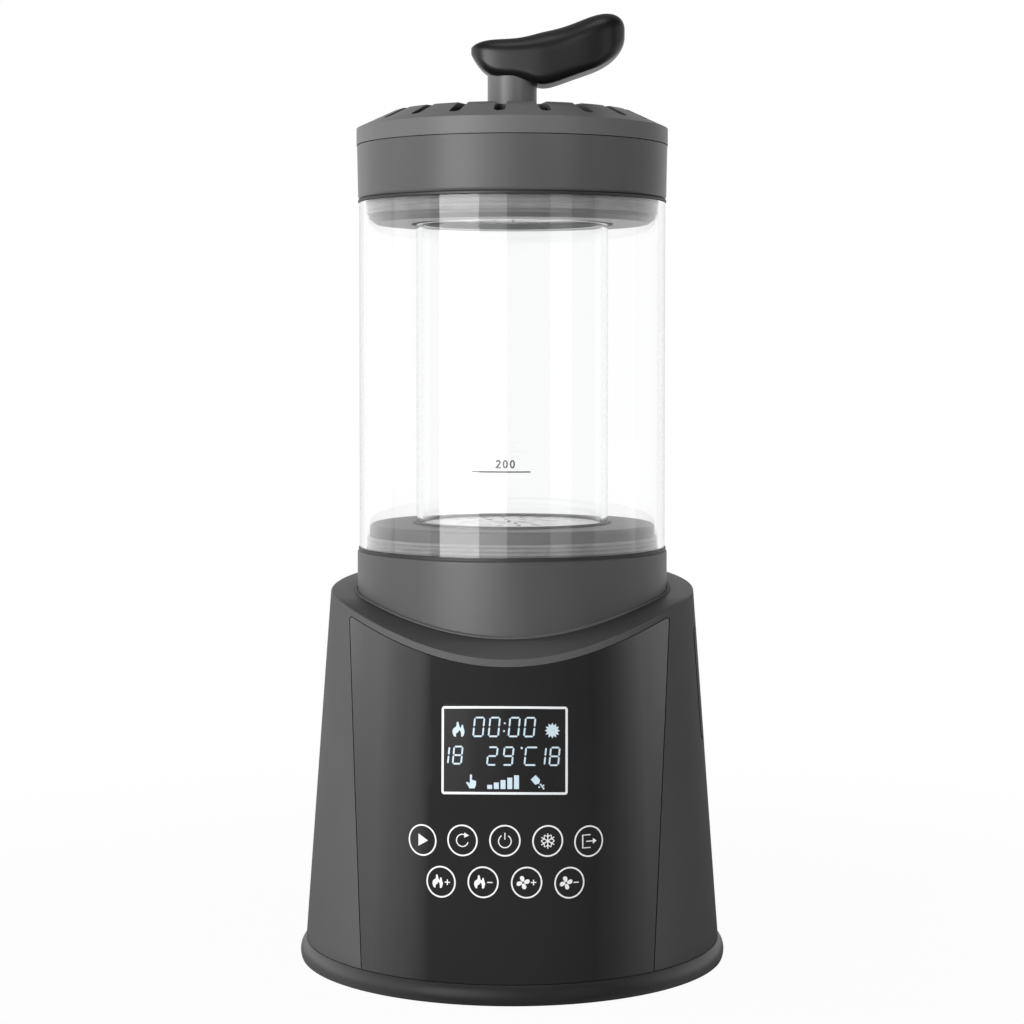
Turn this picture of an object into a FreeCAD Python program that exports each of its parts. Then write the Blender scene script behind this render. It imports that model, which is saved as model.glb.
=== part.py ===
import FreeCAD, Part
import math
import os
import re

import Sketcher

# Home coffee bean roaster, in millimetres.
# +Z is up, the front faces -Y, and the origin lies on the floor under the middle of the feet.

# Driving sizes. Levels are heights above the floor; a radius is about the roaster's own axis.
sizes = {
    # clearances shared by every fit
    "part_gap": 0.3,
    "slip_gap": 0.1,
    "running_gap": 0.05,
    "cut_margin": 12,
    # base tray and its skirt
    "foot_height": 1.5,
    "tray_floor": 2.5,
    "skirt_flare": 1.9,
    "skirt_bulge": 1.3,
    "seam_level": 9.2,
    "spigot_height": 3.5,
    "spigot_wall": 2,
    "intake_slots": 16,
    "intake_inner": 13,
    "intake_outer": 31,
    "intake_half_width": 1.6,
    "intake_round": 1.3,
    "foot_circle_radius": 67,
    "foot_radius": 7,
    "foot_neck_radius": 3,
    "foot_head_radius": 4,
    "foot_head_height": 1.5,
    # tapered shell with its swept crown
    "shell_foot_radius": 88.05,
    "shell_crown_radius": 77.3,
    "shell_wall": 3,
    "crown_level": 155.8,
    "crown_bend": 25,
    "crown_slope": 0.09,
    "crown_radius": 114,
    "crown_edge": 1,
    "boss_inset": 8.55,
    "boss_radius": 5.4,
    "boss_gap": 0.2,
    "boss_height": 24,
    # screws
    "screw_radius": 1.5,
    "screw_head_radius": 3,
    "screw_head_height": 2,
    "screw_grip": 8,
    "short_screw_grip": 3,
    "post_wall": 2.7,
    # inlaid front panel
    "panel_foot_half": 58.7,
    "panel_crown_half": 65.4,
    "panel_crown_level": 147.5,
    "panel_crown_drop": 3.2,
    "panel_thickness": 1.5,
    "panel_gap": 0.35,
    "panel_corner": 1.5,
    # display and touch keys
    "display_level": 101.4,
    "display_half_width": 25.2,
    "display_half_height": 17.1,
    "bezel_width": 1.1,
    "module_half_width": 22.8,
    "module_half_height": 14.8,
    "module_depth": 8.4,
    "board_inset": 21.55,
    "board_half_width": 37,
    "board_low": 39,
    "board_high": 120.5,
    "board_thickness": 1.6,
    "board_post_half": 32,
    "board_post_low": 56.4,
    "board_post_high": 116.5,
    "key_angle": 11.45,
    "key_fall": 0.19,
    "key_upper_level": 65.7,
    "key_lower_level": 49.4,
    "pad_radius": 3.6,
    # pull-off side cover
    "cover_half_width": 15.1,
    "cover_half_height": 23,
    "cover_level": 118.7,
    "cover_corner": 2.5,
    "cover_thickness": 2.2,
    "cover_gap": 0.6,
    "cover_side_gap": 1.9,
    "cover_ledge": 1.8,
    "tongue_half_width": 4,
    "tongue_thickness": 1.6,
    "tongue_reach": 5,
    # chamber socket in the crown
    "socket_floor_level": 129.5,
    "socket_floor": 2.5,
    "socket_wall": 1.2,
    "socket_lip": 0.4,
    "socket_flange_radius": 76,
    "socket_post_circle_radius": 71.9,
    # roasting chamber
    "collar_radius": 65.9,
    "collar_wall": 2.5,
    "collar_height": 44.4,
    "edge_round": 1,
    "gasket_thickness": 1.2,
    "gasket_inset": 0.4,
    "glass_radius": 65,
    "glass_wall": 2.7,
    "glass_length": 145.7,
    "plug_radius": 60.7,
    "disc_rise": 11.4,
    "disc_round": 1.7,
    "disc_thickness": 3.2,
    "tube_radius": 40.8,
    "tube_wall": 2.5,
    "tube_ring_wall": 1.2,
    "tube_ring_height": 1,
    "plate_thickness": 1,
    "plate_flange": 0.8,
    "plate_rings": 3,
    "plate_slots": 8,
    "plate_slot_half": 0.8,
    "plate_slot_length": 7.6,
    "plate_slot_margin": 2.4,
    "plate_swirl": 5,
    "sleeve_step": 2,
    "sleeve_wall": 0.8,
    "seal_base": 0.7,
    "seal_ridge": 1.3,
    "seal_pitch": 1.7,
    "seal_ridges": 3,
    "seal_root": 0.2,
    "seal_drop": 0.2,
    # lid
    "lid_radius": 65.4,
    "lid_flare": 0.4,
    "lid_height": 22.7,
    "lid_wall": 2.5,
    "lid_round": 1.8,
    "plug_depth": 10,
    "plug_chamfer": 2.6,
    "plug_chamfer_rise": 1.8,
    "screen_hole": 43,
    "screen_thickness": 0.6,
    "screen_rim": 6,
    "screen_slots": 12,
    "screen_slot_half": 0.8,
    "screen_slot_length": 11.6,
    "tab_count": 3,
    "tab_angle": 40,
    "tab_reach": 2.1,
    "tab_height": 2.5,
    "tab_drop": 2.6,
    # vent cap
    "cap_lip": 0.2,
    "cap_side": 7,
    "cap_rise": 14,
    "cap_flat_radius": 51,
    "cap_wall": 2.5,
    "cap_skirt_wall": 2,
    "lug_angle": 36,
    "slot_count": 20,
    "slot_inner": 41,
    "slot_outer": 61,
    "slot_half": 2.3,
    "slot_round": 2,
    "slot_turn": 14.8,
    # handle
    "post_radius": 10.45,
    "post_height": 17,
    # the grip's sections along X: place, lowest and highest point above the cap, half width
    "tail_place": -17.2,
    "tail_low": 24.6,
    "tail_high": 27.4,
    "tail_half": 4.2,
    "heel_place": -14.4,
    "heel_low": 20.2,
    "heel_high": 29.2,
    "heel_half": 8.8,
    "seat_place": -8.5,
    "seat_low": 15.6,
    "seat_high": 30.6,
    "seat_half": 11.4,
    "neck_place": 2,
    "neck_low": 13.9,
    "neck_high": 31.3,
    "neck_half": 12.3,
    "dip_place": 12,
    "dip_low": 11.5,
    "dip_high": 33.7,
    "dip_half": 12.5,
    "swell_place": 27,
    "swell_low": 15.4,
    "swell_high": 38,
    "swell_half": 11.9,
    "nose_place": 39.5,
    "nose_low": 20.4,
    "nose_high": 41.8,
    "nose_half": 10.4,
    "brow_place": 45.4,
    "brow_low": 25.6,
    "brow_high": 40.2,
    "brow_half": 7.4,
    "tip_place": 47.6,
    "tip_low": 31,
    "tip_high": 36,
    "tip_half": 3.4,
    "grip_softness": 0.86,
    "grip_belly_round": 4.2,
    # blower
    "motor_radius": 14,
    "motor_foot": 16,
    "motor_length": 24,
    "motor_neck_radius": 3,
    "shaft_radius": 1.5,
    "shaft_seat": 8,
    "bowl_radius": 43.5,
    "bowl_wall": 1.5,
    "bowl_foot": 30,
    "bowl_height": 28,
    "bowl_eye": 26,
    "bowl_rim_width": 5.5,
    "spoke_half": 2.5,
    "cup_wall": 2,
    "fan_radius": 36.5,
    "fan_hub_radius": 6,
    "fan_foot": 42,
    "fan_height": 12.5,
    "fan_plate": 1.5,
    "blade_count": 9,
    "blade_inner": 14.5,
    "blade_run": 15.5,
    "blade_sweep": 18,
    "blade_bow": 22,
    "blade_thickness": 1.2,
    # heater
    "duct_wall": 1,
    "duct_cone": 9,
    "mica_thickness": 1,
    "mica_waist": 26,
    "mica_low": 72,
    "mica_high": 121,
    "mica_shoulder": 6,
    "ribbon_thickness": 0.6,
    "ribbon_width": 2.6,
    "ribbon_pitch": 8,
    "ribbon_turns": 3.5,
    "cutout_radius": 7,
    "cutout_depth": 6,
    "cutout_level": 96,
    "probe_radius": 1.6,
    "probe_level": 124,
    "probe_length": 12,
    "probe_tail": 8.4,
    "probe_nut_radius": 2.9,
    "probe_nut_height": 3,
    # power electronics and inlet
    "power_side": 64.4,
    "power_half": 25,
    "power_foot": 8,
    "power_height": 50,
    "rail_half": 4,
    "rail_height": 14,
    "relay_size": 15,
    "relay_level": 20,
    "capacitor_radius": 7,
    "capacitor_length": 13,
    "inlet_level": 29,
    "inlet_half_width": 15.4,
    "inlet_half_height": 12.4,
    "inlet_inset": 1.8,
    "inlet_depth": 22,
    "inlet_flange": 2,
    "inlet_rim": 1,
    "socket_half_width": 12,
    "socket_half_height": 8.3,
    "socket_crown_half": 8,
    "socket_depth": 16,
    "pin_half": 1,
    "pin_height": 4,
    "pin_spacing": 7,
    "pin_mouth": 4.6,
}

# The grip's sections from its blunt end to its tip.
grip_sections = ("tail", "heel", "seat", "neck", "dip", "swell", "nose", "brow", "tip")

doc = FreeCAD.newDocument("CoffeeRoaster")
sheet = doc.addObject("Spreadsheet::Sheet", "sizes")
for row, (name, size) in enumerate(sizes.items(), start=1):
    sheet.set(f"A{row}", name)
    sheet.set(f"B{row}", str(size))
    sheet.setAlias(f"B{row}", name)
doc.recompute()


def bound(formula):
    """Point every size that a formula names at its spreadsheet cell."""
    return re.sub(
        r"[a-z][a-z0-9_]*",
        lambda word: f"sizes.{word[0]}" if word[0] in sizes else word[0],
        formula,
    )


def value(formula):
    """What a formula comes to, as a number."""
    return float(sheet.evalExpression(bound(formula)))


def bind(item, path, formula):
    """Tie one property of an object to a formula of the spreadsheet's sizes."""
    item.setExpression(path, bound(formula))


def skin(level, inset="0"):
    """Radius of the tapered shell at a level, less an inset."""
    taper = "(shell_foot_radius - shell_crown_radius) / (crown_level - seam_level)"
    return f"(shell_foot_radius - {taper} * ({level} - seam_level) - ({inset}))"


# Levels from the floor up, then radii that follow from a fit.
tray_top = "(foot_height + tray_floor)"
shell_foot = "(seam_level + part_gap)"
cone_top = "(crown_level + crown_slope * (shell_foot_radius + crown_bend) + cut_margin)"
boss_foot = "(seam_level + spigot_height + part_gap)"
jar_foot = "(socket_floor_level + part_gap)"
collar_top = f"({jar_foot} + collar_height)"
glass_foot = f"({collar_top} + gasket_thickness)"
glass_top = f"({glass_foot} + glass_length)"
disc_top = f"({collar_top} + disc_rise)"
lid_foot = f"({glass_top} + gasket_thickness)"
lid_top = f"({lid_foot} + lid_height)"
plug_foot = f"({lid_foot} - plug_depth)"
cap_foot = f"({lid_top} + part_gap)"
cap_shoulder = f"({cap_foot} + cap_side)"
cap_top = f"({cap_foot} + cap_rise)"
bowl_top = "(bowl_foot + bowl_height)"
duct_top = "(socket_floor_level - socket_floor)"
boss_circle = "(shell_foot_radius - boss_inset)"
board_front = "(shell_foot_radius - board_inset)"
socket_inner = "(collar_radius + part_gap)"
socket_outer = f"({socket_inner} + socket_wall)"
sleeve_radius = "(tube_radius - tube_wall - sleeve_step)"
socket_mouth = f"({sleeve_radius} + part_gap)"
duct_radius = f"({sleeve_radius} - part_gap)"
glass_inner = "(glass_radius - glass_wall)"
lid_top_radius = "(lid_radius + lid_flare)"
cap_radius = f"({lid_top_radius} + cap_lip)"
gasket_outer = "(glass_radius + gasket_inset)"
bowl_rim = "(bowl_radius + bowl_rim_width)"
stand_radius = "((bowl_eye + bowl_radius) / 2)"
rim_screw_radius = "(bowl_radius + bowl_rim_width / 2)"


# Sketches and features.


def new_body(label):
    body = doc.addObject("PartDesign::Body", label)
    body.AllowCompound = True
    return body


def new_sketch(body, role, offset="0", turn="0"):
    """A sketch on one of the body's own origin planes, moved along its normal and turned."""
    sketch = body.newObject("Sketcher::SketchObject", f"{body.Name}_sketch")
    plane = next(item for item in body.Origin.OriginFeatures if item.Role == role)
    sketch.AttachmentSupport = [(plane, "")]
    sketch.MapMode = "FlatFace"
    sketch.AttachmentOffset = FreeCAD.Placement(
        FreeCAD.Vector(0, 0, value(offset)), FreeCAD.Rotation(FreeCAD.Vector(0, 0, 1), value(turn))
    )
    bind(sketch, "AttachmentOffset.Base.z", offset)
    if turn != "0":
        bind(sketch, "AttachmentOffset.Rotation.Angle", turn)
    return sketch


def pin(sketch, geometry, point, across, up):
    """Hold a point of a sketch by its two formulas, measured from the sketch's origin."""
    for kind, formula in (("DistanceX", across), ("DistanceY", up)):
        held = Sketcher.Constraint(kind, -1, 1, geometry, point, value(formula))
        bind(sketch, f"Constraints[{sketch.addConstraint(held)}]", formula)


def hold_radius(sketch, geometry, formula):
    held = Sketcher.Constraint("Radius", geometry, value(formula))
    bind(sketch, f"Constraints[{sketch.addConstraint(held)}]", formula)


def outline(sketch, corners):
    """A closed outline. A corner is (across, up), or (across, up, side, radius) where an arc of
    that radius runs to the next corner and bows to the right (1) or the left (-1) of the way."""
    spots = [FreeCAD.Vector(value(corner[0]), value(corner[1]), 0) for corner in corners]
    ends = []
    for here, there, corner in zip(spots, spots[1:] + spots[:1], corners):
        if len(corner) == 2:
            index = sketch.addGeometry(Part.LineSegment(here, there), False)
            ends.append((index, 1, 2))
            continue
        way = there - here
        radius = value(corner[3])
        sagitta = radius - math.sqrt(radius**2 - (way.Length / 2) ** 2)
        right = FreeCAD.Vector(way.y, -way.x, 0).normalize()
        middle = (here + there) / 2 + right * (sagitta * corner[2])
        index = sketch.addGeometry(Part.Arc(here, middle, there), False)
        from_start, from_end = [(sketch.getPoint(index, end) - here).Length for end in (1, 2)]
        ends.append((index, 1, 2) if from_start < from_end else (index, 2, 1))
    for (index, start, end), (following, next_start, next_end) in zip(ends, ends[1:] + ends[:1]):
        sketch.addConstraint(Sketcher.Constraint("Coincident", index, end, following, next_start))
    for (index, start, end), corner in zip(ends, corners):
        pin(sketch, index, start, corner[0], corner[1])
        if len(corner) == 4:
            hold_radius(sketch, index, corner[3])


def rounded(sketch, left, right, low, high, radius, low_radius=None):
    """A rectangle with four rounded corners; the lower two can have a radius of their own."""
    low_radius = low_radius or radius
    radii = [radius, radius, low_radius, low_radius]
    quarter = math.pi / 2
    centres = [
        (f"({right}) - ({radius})", f"({high}) - ({radius})"),
        (f"({left}) + ({radius})", f"({high}) - ({radius})"),
        (f"({left}) + ({low_radius})", f"({low}) + ({low_radius})"),
        (f"({right}) - ({low_radius})", f"({low}) + ({low_radius})"),
    ]
    arcs = []
    for step, (across, up) in enumerate(centres):
        middle = FreeCAD.Vector(value(across), value(up), 0)
        round_edge = Part.Circle(middle, FreeCAD.Vector(0, 0, 1), value(radii[step]))
        arc = Part.ArcOfCircle(round_edge, step * quarter, (step + 1) * quarter)
        arcs.append(sketch.addGeometry(arc, False))
    for arc, following in zip(arcs, arcs[1:] + arcs[:1]):
        edge = Part.LineSegment(sketch.getPoint(arc, 2), sketch.getPoint(following, 1))
        line = sketch.addGeometry(edge, False)
        sketch.addConstraint(Sketcher.Constraint("Tangent", arc, 2, line, 1))
        sketch.addConstraint(Sketcher.Constraint("Tangent", line, 2, following, 1))
    for arc, (across, up), corner_radius in zip(arcs, centres, radii):
        pin(sketch, arc, 3, across, up)
        hold_radius(sketch, arc, corner_radius)


def rectangle(sketch, left, right, low, high):
    outline(sketch, [(left, low), (right, low), (right, high), (left, high)])


def circle(sketch, across, up, radius):
    middle = FreeCAD.Vector(value(across), value(up), 0)
    index = sketch.addGeometry(Part.Circle(middle, FreeCAD.Vector(0, 0, 1), value(radius)), False)
    pin(sketch, index, 3, across, up)
    hold_radius(sketch, index, radius)


def spin(sketch, kind="Revolution", degrees=None):
    """Turn a sketch about its own upright axis, all the way or by so many degrees about its middle."""
    body = sketch.getParentGeoFeatureGroup()
    feature = body.newObject(f"PartDesign::{kind}", f"{body.Name}_turned")
    feature.Profile = sketch
    feature.ReferenceAxis = (sketch, ["V_Axis"])
    if degrees:
        feature.Midplane = True
        bind(feature, "Angle", degrees)
    return feature


def pad(sketch, length, side="One side", backward=False):
    body = sketch.getParentGeoFeatureGroup()
    feature = body.newObject("PartDesign::Pad", f"{body.Name}_pad")
    feature.Profile = sketch
    feature.SideType = side
    feature.Reversed = backward
    bind(feature, "Length", length)
    return feature


def pocket(sketch, length=None, side="One side", backward=False):
    """Cut against the sketch's normal, or along it when backward; right through with no length."""
    body = sketch.getParentGeoFeatureGroup()
    feature = body.newObject("PartDesign::Pocket", f"{body.Name}_pocket")
    feature.Profile = sketch
    feature.SideType = side
    feature.Reversed = backward
    if length:
        bind(feature, "Length", length)
    else:
        feature.Type = "ThroughAll"
    return feature


def around(feature, count):
    """Repeat a feature evenly round the roaster's axis."""
    body = feature.getParentGeoFeatureGroup()
    pattern = body.newObject("PartDesign::PolarPattern", f"{body.Name}_round")
    pattern.Originals = [feature]
    pattern.Axis = (next(item for item in body.Origin.OriginFeatures if item.Role == "Z_Axis"), [""])
    pattern.Angle = 360
    bind(pattern, "Occurrences", count)
    body.Tip = pattern
    return pattern


def fillet(body, radius, chosen):
    """Round the edges of the body's last feature that pass a test."""
    doc.recompute()
    base = body.Tip
    names = [f"Edge{n}" for n, edge in enumerate(base.Shape.Edges, start=1) if chosen(edge)]
    feature = body.newObject("PartDesign::Fillet", f"{body.Name}_round")
    feature.Base = (base, names)
    bind(feature, "Radius", radius)
    return feature


def combine(body, tools, kind):
    """Cut other bodies out of a body, or keep only what they share with it."""
    feature = body.newObject("PartDesign::Boolean", f"{body.Name}_{kind.lower()}")
    feature.Type = kind
    feature.setObjects(tools)
    return feature


def turned_piece(label, corners):
    """A piece that is one outline in the XZ plane turned about the axis."""
    body = new_body(label)
    sketch = new_sketch(body, "XZ_Plane")
    outline(sketch, corners)
    spin(sketch)
    return body


def ring(label, inner, outer, low, high):
    return turned_piece(label, [(inner, low), (outer, low), (outer, high), (inner, high)])


def block(label, low, high):
    """A box between two corners, each given by its three formulas."""
    box = doc.addObject("Part::Box", label)
    for side, start, end in zip(("Length", "Width", "Height"), low, high):
        bind(box, side, f"({end}) - ({start})")
    for axis, start in zip("xyz", low):
        bind(box, f"Placement.Base.{axis}", start)
    return box


def rod(label, radius, length, foot, way="+Z"):
    """A cylinder from its foot along one of the axes."""
    cylinder = doc.addObject("Part::Cylinder", label)
    bind(cylinder, "Radius", radius)
    bind(cylinder, "Height", length)
    sign = 1 if way[0] == "+" else -1
    heading = FreeCAD.Vector(*[sign if axis == way[1] else 0 for axis in "XYZ"])
    cylinder.Placement.Rotation = FreeCAD.Rotation(FreeCAD.Vector(0, 0, 1), heading)
    for axis, start in zip("xyz", foot):
        bind(cylinder, f"Placement.Base.{axis}", start)
    return cylinder


def group(label, items):
    """Several separate solids that are one kind of piece."""
    together = doc.addObject("Part::Compound", label)
    together.Links = items
    return together


def screws(label, spots, length, way):
    """Screws with their heads' outer faces at the spots."""
    step = "-screw_head_height" if way[0] == "-" else "screw_head_height"
    made = []
    for spot in spots:
        neck = [f"{place} + {step}" if axis == way[1] else place for axis, place in zip("XYZ", spot)]
        head = rod(f"{label}_head", "screw_head_radius", "screw_head_height", spot, way)
        shank = rod(f"{label}_shank", "screw_radius", length, neck, way)
        screw = doc.addObject("Part::Fuse", f"{label}_one")
        screw.Base = head
        screw.Tool = shank
        made.append(screw)
    return group(label, made)


def spots_round(circle_radius, degrees, level):
    """Places on a circle about the axis, at the given angles from +X."""
    return [
        (f"{circle_radius} * cos({angle})", f"{circle_radius} * sin({angle})", level)
        for angle in degrees
    ]


# Screws and feet stand at the tray's four corners; the socket and the blower have three fixings.
corner_angles = (45, 135, 225, 315)
socket_angles = (60, 180, 300)
blower_angles = (90, 210, 330)


# The tapered shell, its crown and what is inlaid in it.


def crown_area(sketch, shift="0"):
    """The space above the crown: flat from the back, then falling over an arc to the front."""
    reach = "(shell_foot_radius + cut_margin)"
    level = f"(crown_level + ({shift}))"
    lean = "sqrt(1 + crown_slope ^ 2)"
    centre_across = f"(crown_radius * crown_slope / {lean} - crown_bend)"
    centre_up = f"({level} - crown_radius / {lean})"
    front_up = f"({centre_up} + sqrt(crown_radius ^ 2 - ({reach} + {centre_across}) ^ 2))"
    ceiling = f"({cone_top} + cut_margin)"
    outline(
        sketch,
        [
            (f"-{reach}", front_up, -1, "crown_radius"),
            ("-crown_bend", level),
            (reach, f"{level} + crown_slope * ({reach} + crown_bend)"),
            (reach, ceiling),
            (f"-{reach}", ceiling),
        ],
    )


def cone_body(label, inset, low):
    """A solid cone that follows the shell's taper, cut by the crown at the same inset."""
    body = turned_piece(
        label, [("0", low), (skin(low, inset), low), (skin(cone_top, inset), cone_top), ("0", cone_top)]
    )
    sketch = new_sketch(body, "YZ_Plane")
    crown_area(sketch, f"-({inset})")
    pocket(sketch, side="Symmetric")
    return body


def shell_cavity():
    """The room inside the shell, less the bosses and posts that stand on its wall."""
    body = cone_body("shell_cavity", "shell_wall", "foot_height")
    bosses = new_sketch(body, "XY_Plane", boss_foot)
    for across, up, level in spots_round(boss_circle, corner_angles, boss_foot):
        circle(bosses, across, up, "boss_radius")
    pocket(bosses, "boss_height", backward=True)
    hangers = new_sketch(body, "XY_Plane", "socket_floor_level")
    for across, up, level in spots_round("socket_post_circle_radius", socket_angles, "socket_floor_level"):
        circle(hangers, across, up, "screw_radius + post_wall")
    pocket(hangers, backward=True)
    posts = new_sketch(body, "XZ_Plane", board_front)
    for side in ("-", ""):
        for level in ("board_post_low", "board_post_high"):
            circle(posts, f"{side}board_post_half", level, "screw_radius + post_wall")
    pocket(posts, backward=True)
    return body


def inlay(body, depth, proud="0"):
    """Keep of a block only the sheet that follows the skin, from a depth to just proud of it."""
    low = shell_foot if proud == "0" else "foot_height"
    layer = turned_piece(
        f"{body.Label}_layer",
        [
            (skin(low, depth), low),
            (skin(low, f"-({proud})"), low),
            (skin(cone_top, f"-({proud})"), cone_top),
            (skin(cone_top, depth), cone_top),
        ],
    )
    combine(body, [layer], "Common")


def panel_shape(label, grow, depth, proud="0"):
    """The front panel, or the recess for it when it grows by the gap."""
    body = new_body(label)
    front = new_sketch(body, "XZ_Plane")
    flare = "((panel_crown_half - panel_foot_half) / (panel_crown_level - seam_level))"
    low_half = f"(panel_foot_half - {flare} * seam_level + ({grow}))"
    high_half = f"(panel_foot_half + {flare} * ({cone_top} - seam_level) + ({grow}))"
    outline(
        front,
        [
            (f"-{low_half}", "0"),
            (low_half, "0"),
            (high_half, cone_top),
            (f"-{high_half}", cone_top),
        ],
    )
    pad(front, "shell_foot_radius + cut_margin")
    crown = new_sketch(body, "YZ_Plane")
    crown_area(crown, f"({grow}) - panel_crown_drop")
    pocket(crown, side="Symmetric")

    def at_corner(edge):
        box = edge.BoundBox
        return box.ZMin > value("crown_level") / 2 and box.XLength < value("panel_crown_half") / 2

    fillet(body, f"panel_corner + ({grow})", at_corner)
    inlay(body, depth, proud)
    return body


def cover_shape(label, grow, side_grow, depth, proud="0"):
    """The side cover, or the recess for it when it grows by its gap above, below and at the sides."""
    body = new_body(label)
    side = new_sketch(body, "YZ_Plane")
    rounded(
        side,
        f"-cover_half_width - ({side_grow})",
        f"cover_half_width + ({side_grow})",
        f"cover_level - cover_half_height - ({grow})",
        f"cover_level + cover_half_height + ({grow})",
        f"cover_corner + ({grow})",
    )
    pad(side, "shell_foot_radius + cut_margin")
    inlay(body, depth, proud)
    return body


def display_edges(inset):
    """Left, right, low and high edges of the display, drawn in by an inset."""
    return (
        f"-display_half_width + ({inset})",
        f"display_half_width - ({inset})",
        f"display_level - display_half_height + ({inset})",
        f"display_level + display_half_height - ({inset})",
    )


def outer_shell():
    body = cone_body("outer_shell", "0", shell_foot)
    fillet(body, "crown_edge", lambda edge: edge.BoundBox.ZMin > value("crown_level") / 2)
    combine(body, [shell_cavity()], "Cut")
    panel_depth = "panel_thickness + slip_gap"
    cover_depth = "cover_thickness + part_gap"
    recesses = [
        panel_shape("panel_recess", "panel_gap", panel_depth, "cut_margin"),
        cover_shape("cover_recess", "cover_gap", "cover_side_gap", cover_depth, "cut_margin"),
    ]
    combine(body, recesses, "Cut")
    mouth = new_sketch(body, "XY_Plane", "socket_floor_level")
    circle(mouth, "0", "0", f"{socket_outer} + slip_gap")
    pocket(mouth, backward=True)
    display = new_sketch(body, "XZ_Plane")
    rectangle(display, *display_edges("0"))
    pocket(display, backward=True)
    inlet = new_sketch(body, "XZ_Plane")
    rectangle(
        inlet,
        "-inlet_half_width - slip_gap",
        "inlet_half_width + slip_gap",
        "inlet_level - inlet_half_height - slip_gap",
        "inlet_level + inlet_half_height + slip_gap",
    )
    pocket(inlet)
    window = new_sketch(body, "YZ_Plane")
    rounded(
        window,
        "cover_ledge - cover_half_width",
        "cover_half_width - cover_ledge",
        "cover_level - cover_half_height + cover_ledge",
        "cover_level + cover_half_height - cover_ledge",
        "cover_corner",
    )
    pocket(window, backward=True)
    pilots = new_sketch(body, "XY_Plane", boss_foot)
    for across, up, level in spots_round(boss_circle, corner_angles, boss_foot):
        circle(pilots, across, up, "screw_radius")
    pocket(pilots, "screw_grip + part_gap", backward=True)
    hung = new_sketch(body, "XY_Plane", "socket_floor_level")
    for across, up, level in spots_round("socket_post_circle_radius", socket_angles, "0"):
        circle(hung, across, up, "screw_radius")
    pocket(hung, "screw_grip + part_gap", backward=True)
    board_pilots = new_sketch(body, "XZ_Plane", board_front)
    for side in ("-", ""):
        for level in ("board_post_low", "board_post_high"):
            circle(board_pilots, f"{side}board_post_half", level, "screw_radius")
    pocket(board_pilots, "short_screw_grip + part_gap", backward=True)
    return body


def front_panel():
    body = panel_shape("front_panel", "0", "panel_thickness")
    opening = new_sketch(body, "XZ_Plane")
    rectangle(opening, *display_edges("0"))
    pocket(opening, backward=True)
    return body


def display_bezel():
    body = new_body("display_bezel")
    frame = new_sketch(body, "XZ_Plane")
    rectangle(frame, *display_edges("0"))
    rectangle(frame, *display_edges("bezel_width"))
    pad(frame, "shell_foot_radius + cut_margin")
    inlay(body, "panel_thickness")
    return body


def display_window():
    body = new_body("display_window")
    pane = new_sketch(body, "XZ_Plane")
    rectangle(pane, *display_edges("bezel_width"))
    pad(pane, "shell_foot_radius + cut_margin")
    inlay(body, "panel_thickness")
    return body


def display_module():
    return block(
        "display_module",
        ("-module_half_width", f"-{board_front} - module_depth", "display_level - module_half_height"),
        ("module_half_width", f"-{board_front}", "display_level + module_half_height"),
    )


def control_board():
    body = new_body("control_board")
    sketch = new_sketch(body, "XZ_Plane", f"{board_front} - board_thickness")
    rectangle(sketch, "-board_half_width", "board_half_width", "board_low", "board_high")
    for side in ("-", ""):
        for level in ("board_post_low", "board_post_high"):
            circle(sketch, f"{side}board_post_half", level, "screw_radius + slip_gap")
    pad(sketch, "board_thickness")
    return body


def board_screws():
    back = f"-{board_front} + board_thickness + screw_head_height"
    spots = []
    for side in ("-", ""):
        for level in ("board_post_low", "board_post_high"):
            spots.append((f"{side}board_post_half", back, level))
    return screws("board_screws", spots, "board_thickness + short_screw_grip", "-Y")


def touch_pads():
    """Conductive pads, five over four in shallow arcs, from the board to the wall behind the panel."""
    rods = []
    for count, level in ((5, "key_upper_level"), (4, "key_lower_level")):
        for step in range(count):
            angle = f"(key_angle * {step - (count - 1) / 2})"
            up = f"({level} - key_fall * {skin(level)} * (1 - cos({angle})))"
            foot = (f"{skin(level)} * sin({angle})", f"-{board_front}", up)
            rods.append(rod("touch_pad", "pad_radius", "board_inset", foot, "-Y"))
    inner = doc.addObject("Part::Cone", "pad_limit")
    low = "(key_lower_level - pad_radius * 2)"
    high = "(key_upper_level + pad_radius * 2)"
    bind(inner, "Radius1", skin(low, "shell_wall + slip_gap"))
    bind(inner, "Radius2", skin(high, "shell_wall + slip_gap"))
    bind(inner, "Height", f"{high} - {low}")
    bind(inner, "Placement.Base.z", low)
    pads = doc.addObject("Part::Common", "touch_pads")
    pads.Base = group("pad_rods", rods)
    pads.Tool = inner
    return pads


def side_cover():
    body = cover_shape("side_cover", "0", "0", "cover_thickness")
    tongues = new_sketch(body, "XZ_Plane")
    for side in (1, -1):
        outer = f"(cover_level + (cover_half_height - cover_ledge - part_gap) * {side})"
        inner = f"({outer} - tongue_thickness * {side})"
        outline(
            tongues,
            [
                (skin(outer, "cover_thickness + tongue_reach"), outer),
                (skin(outer, "cover_thickness / 2"), outer),
                (skin(inner, "cover_thickness / 2"), inner),
                (skin(inner, "cover_thickness + tongue_reach"), inner),
            ],
        )
    pad(tongues, "tongue_half_width * 2", side="Symmetric")
    return body


# The floor of the base, with its skirt, feet and posts.


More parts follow.
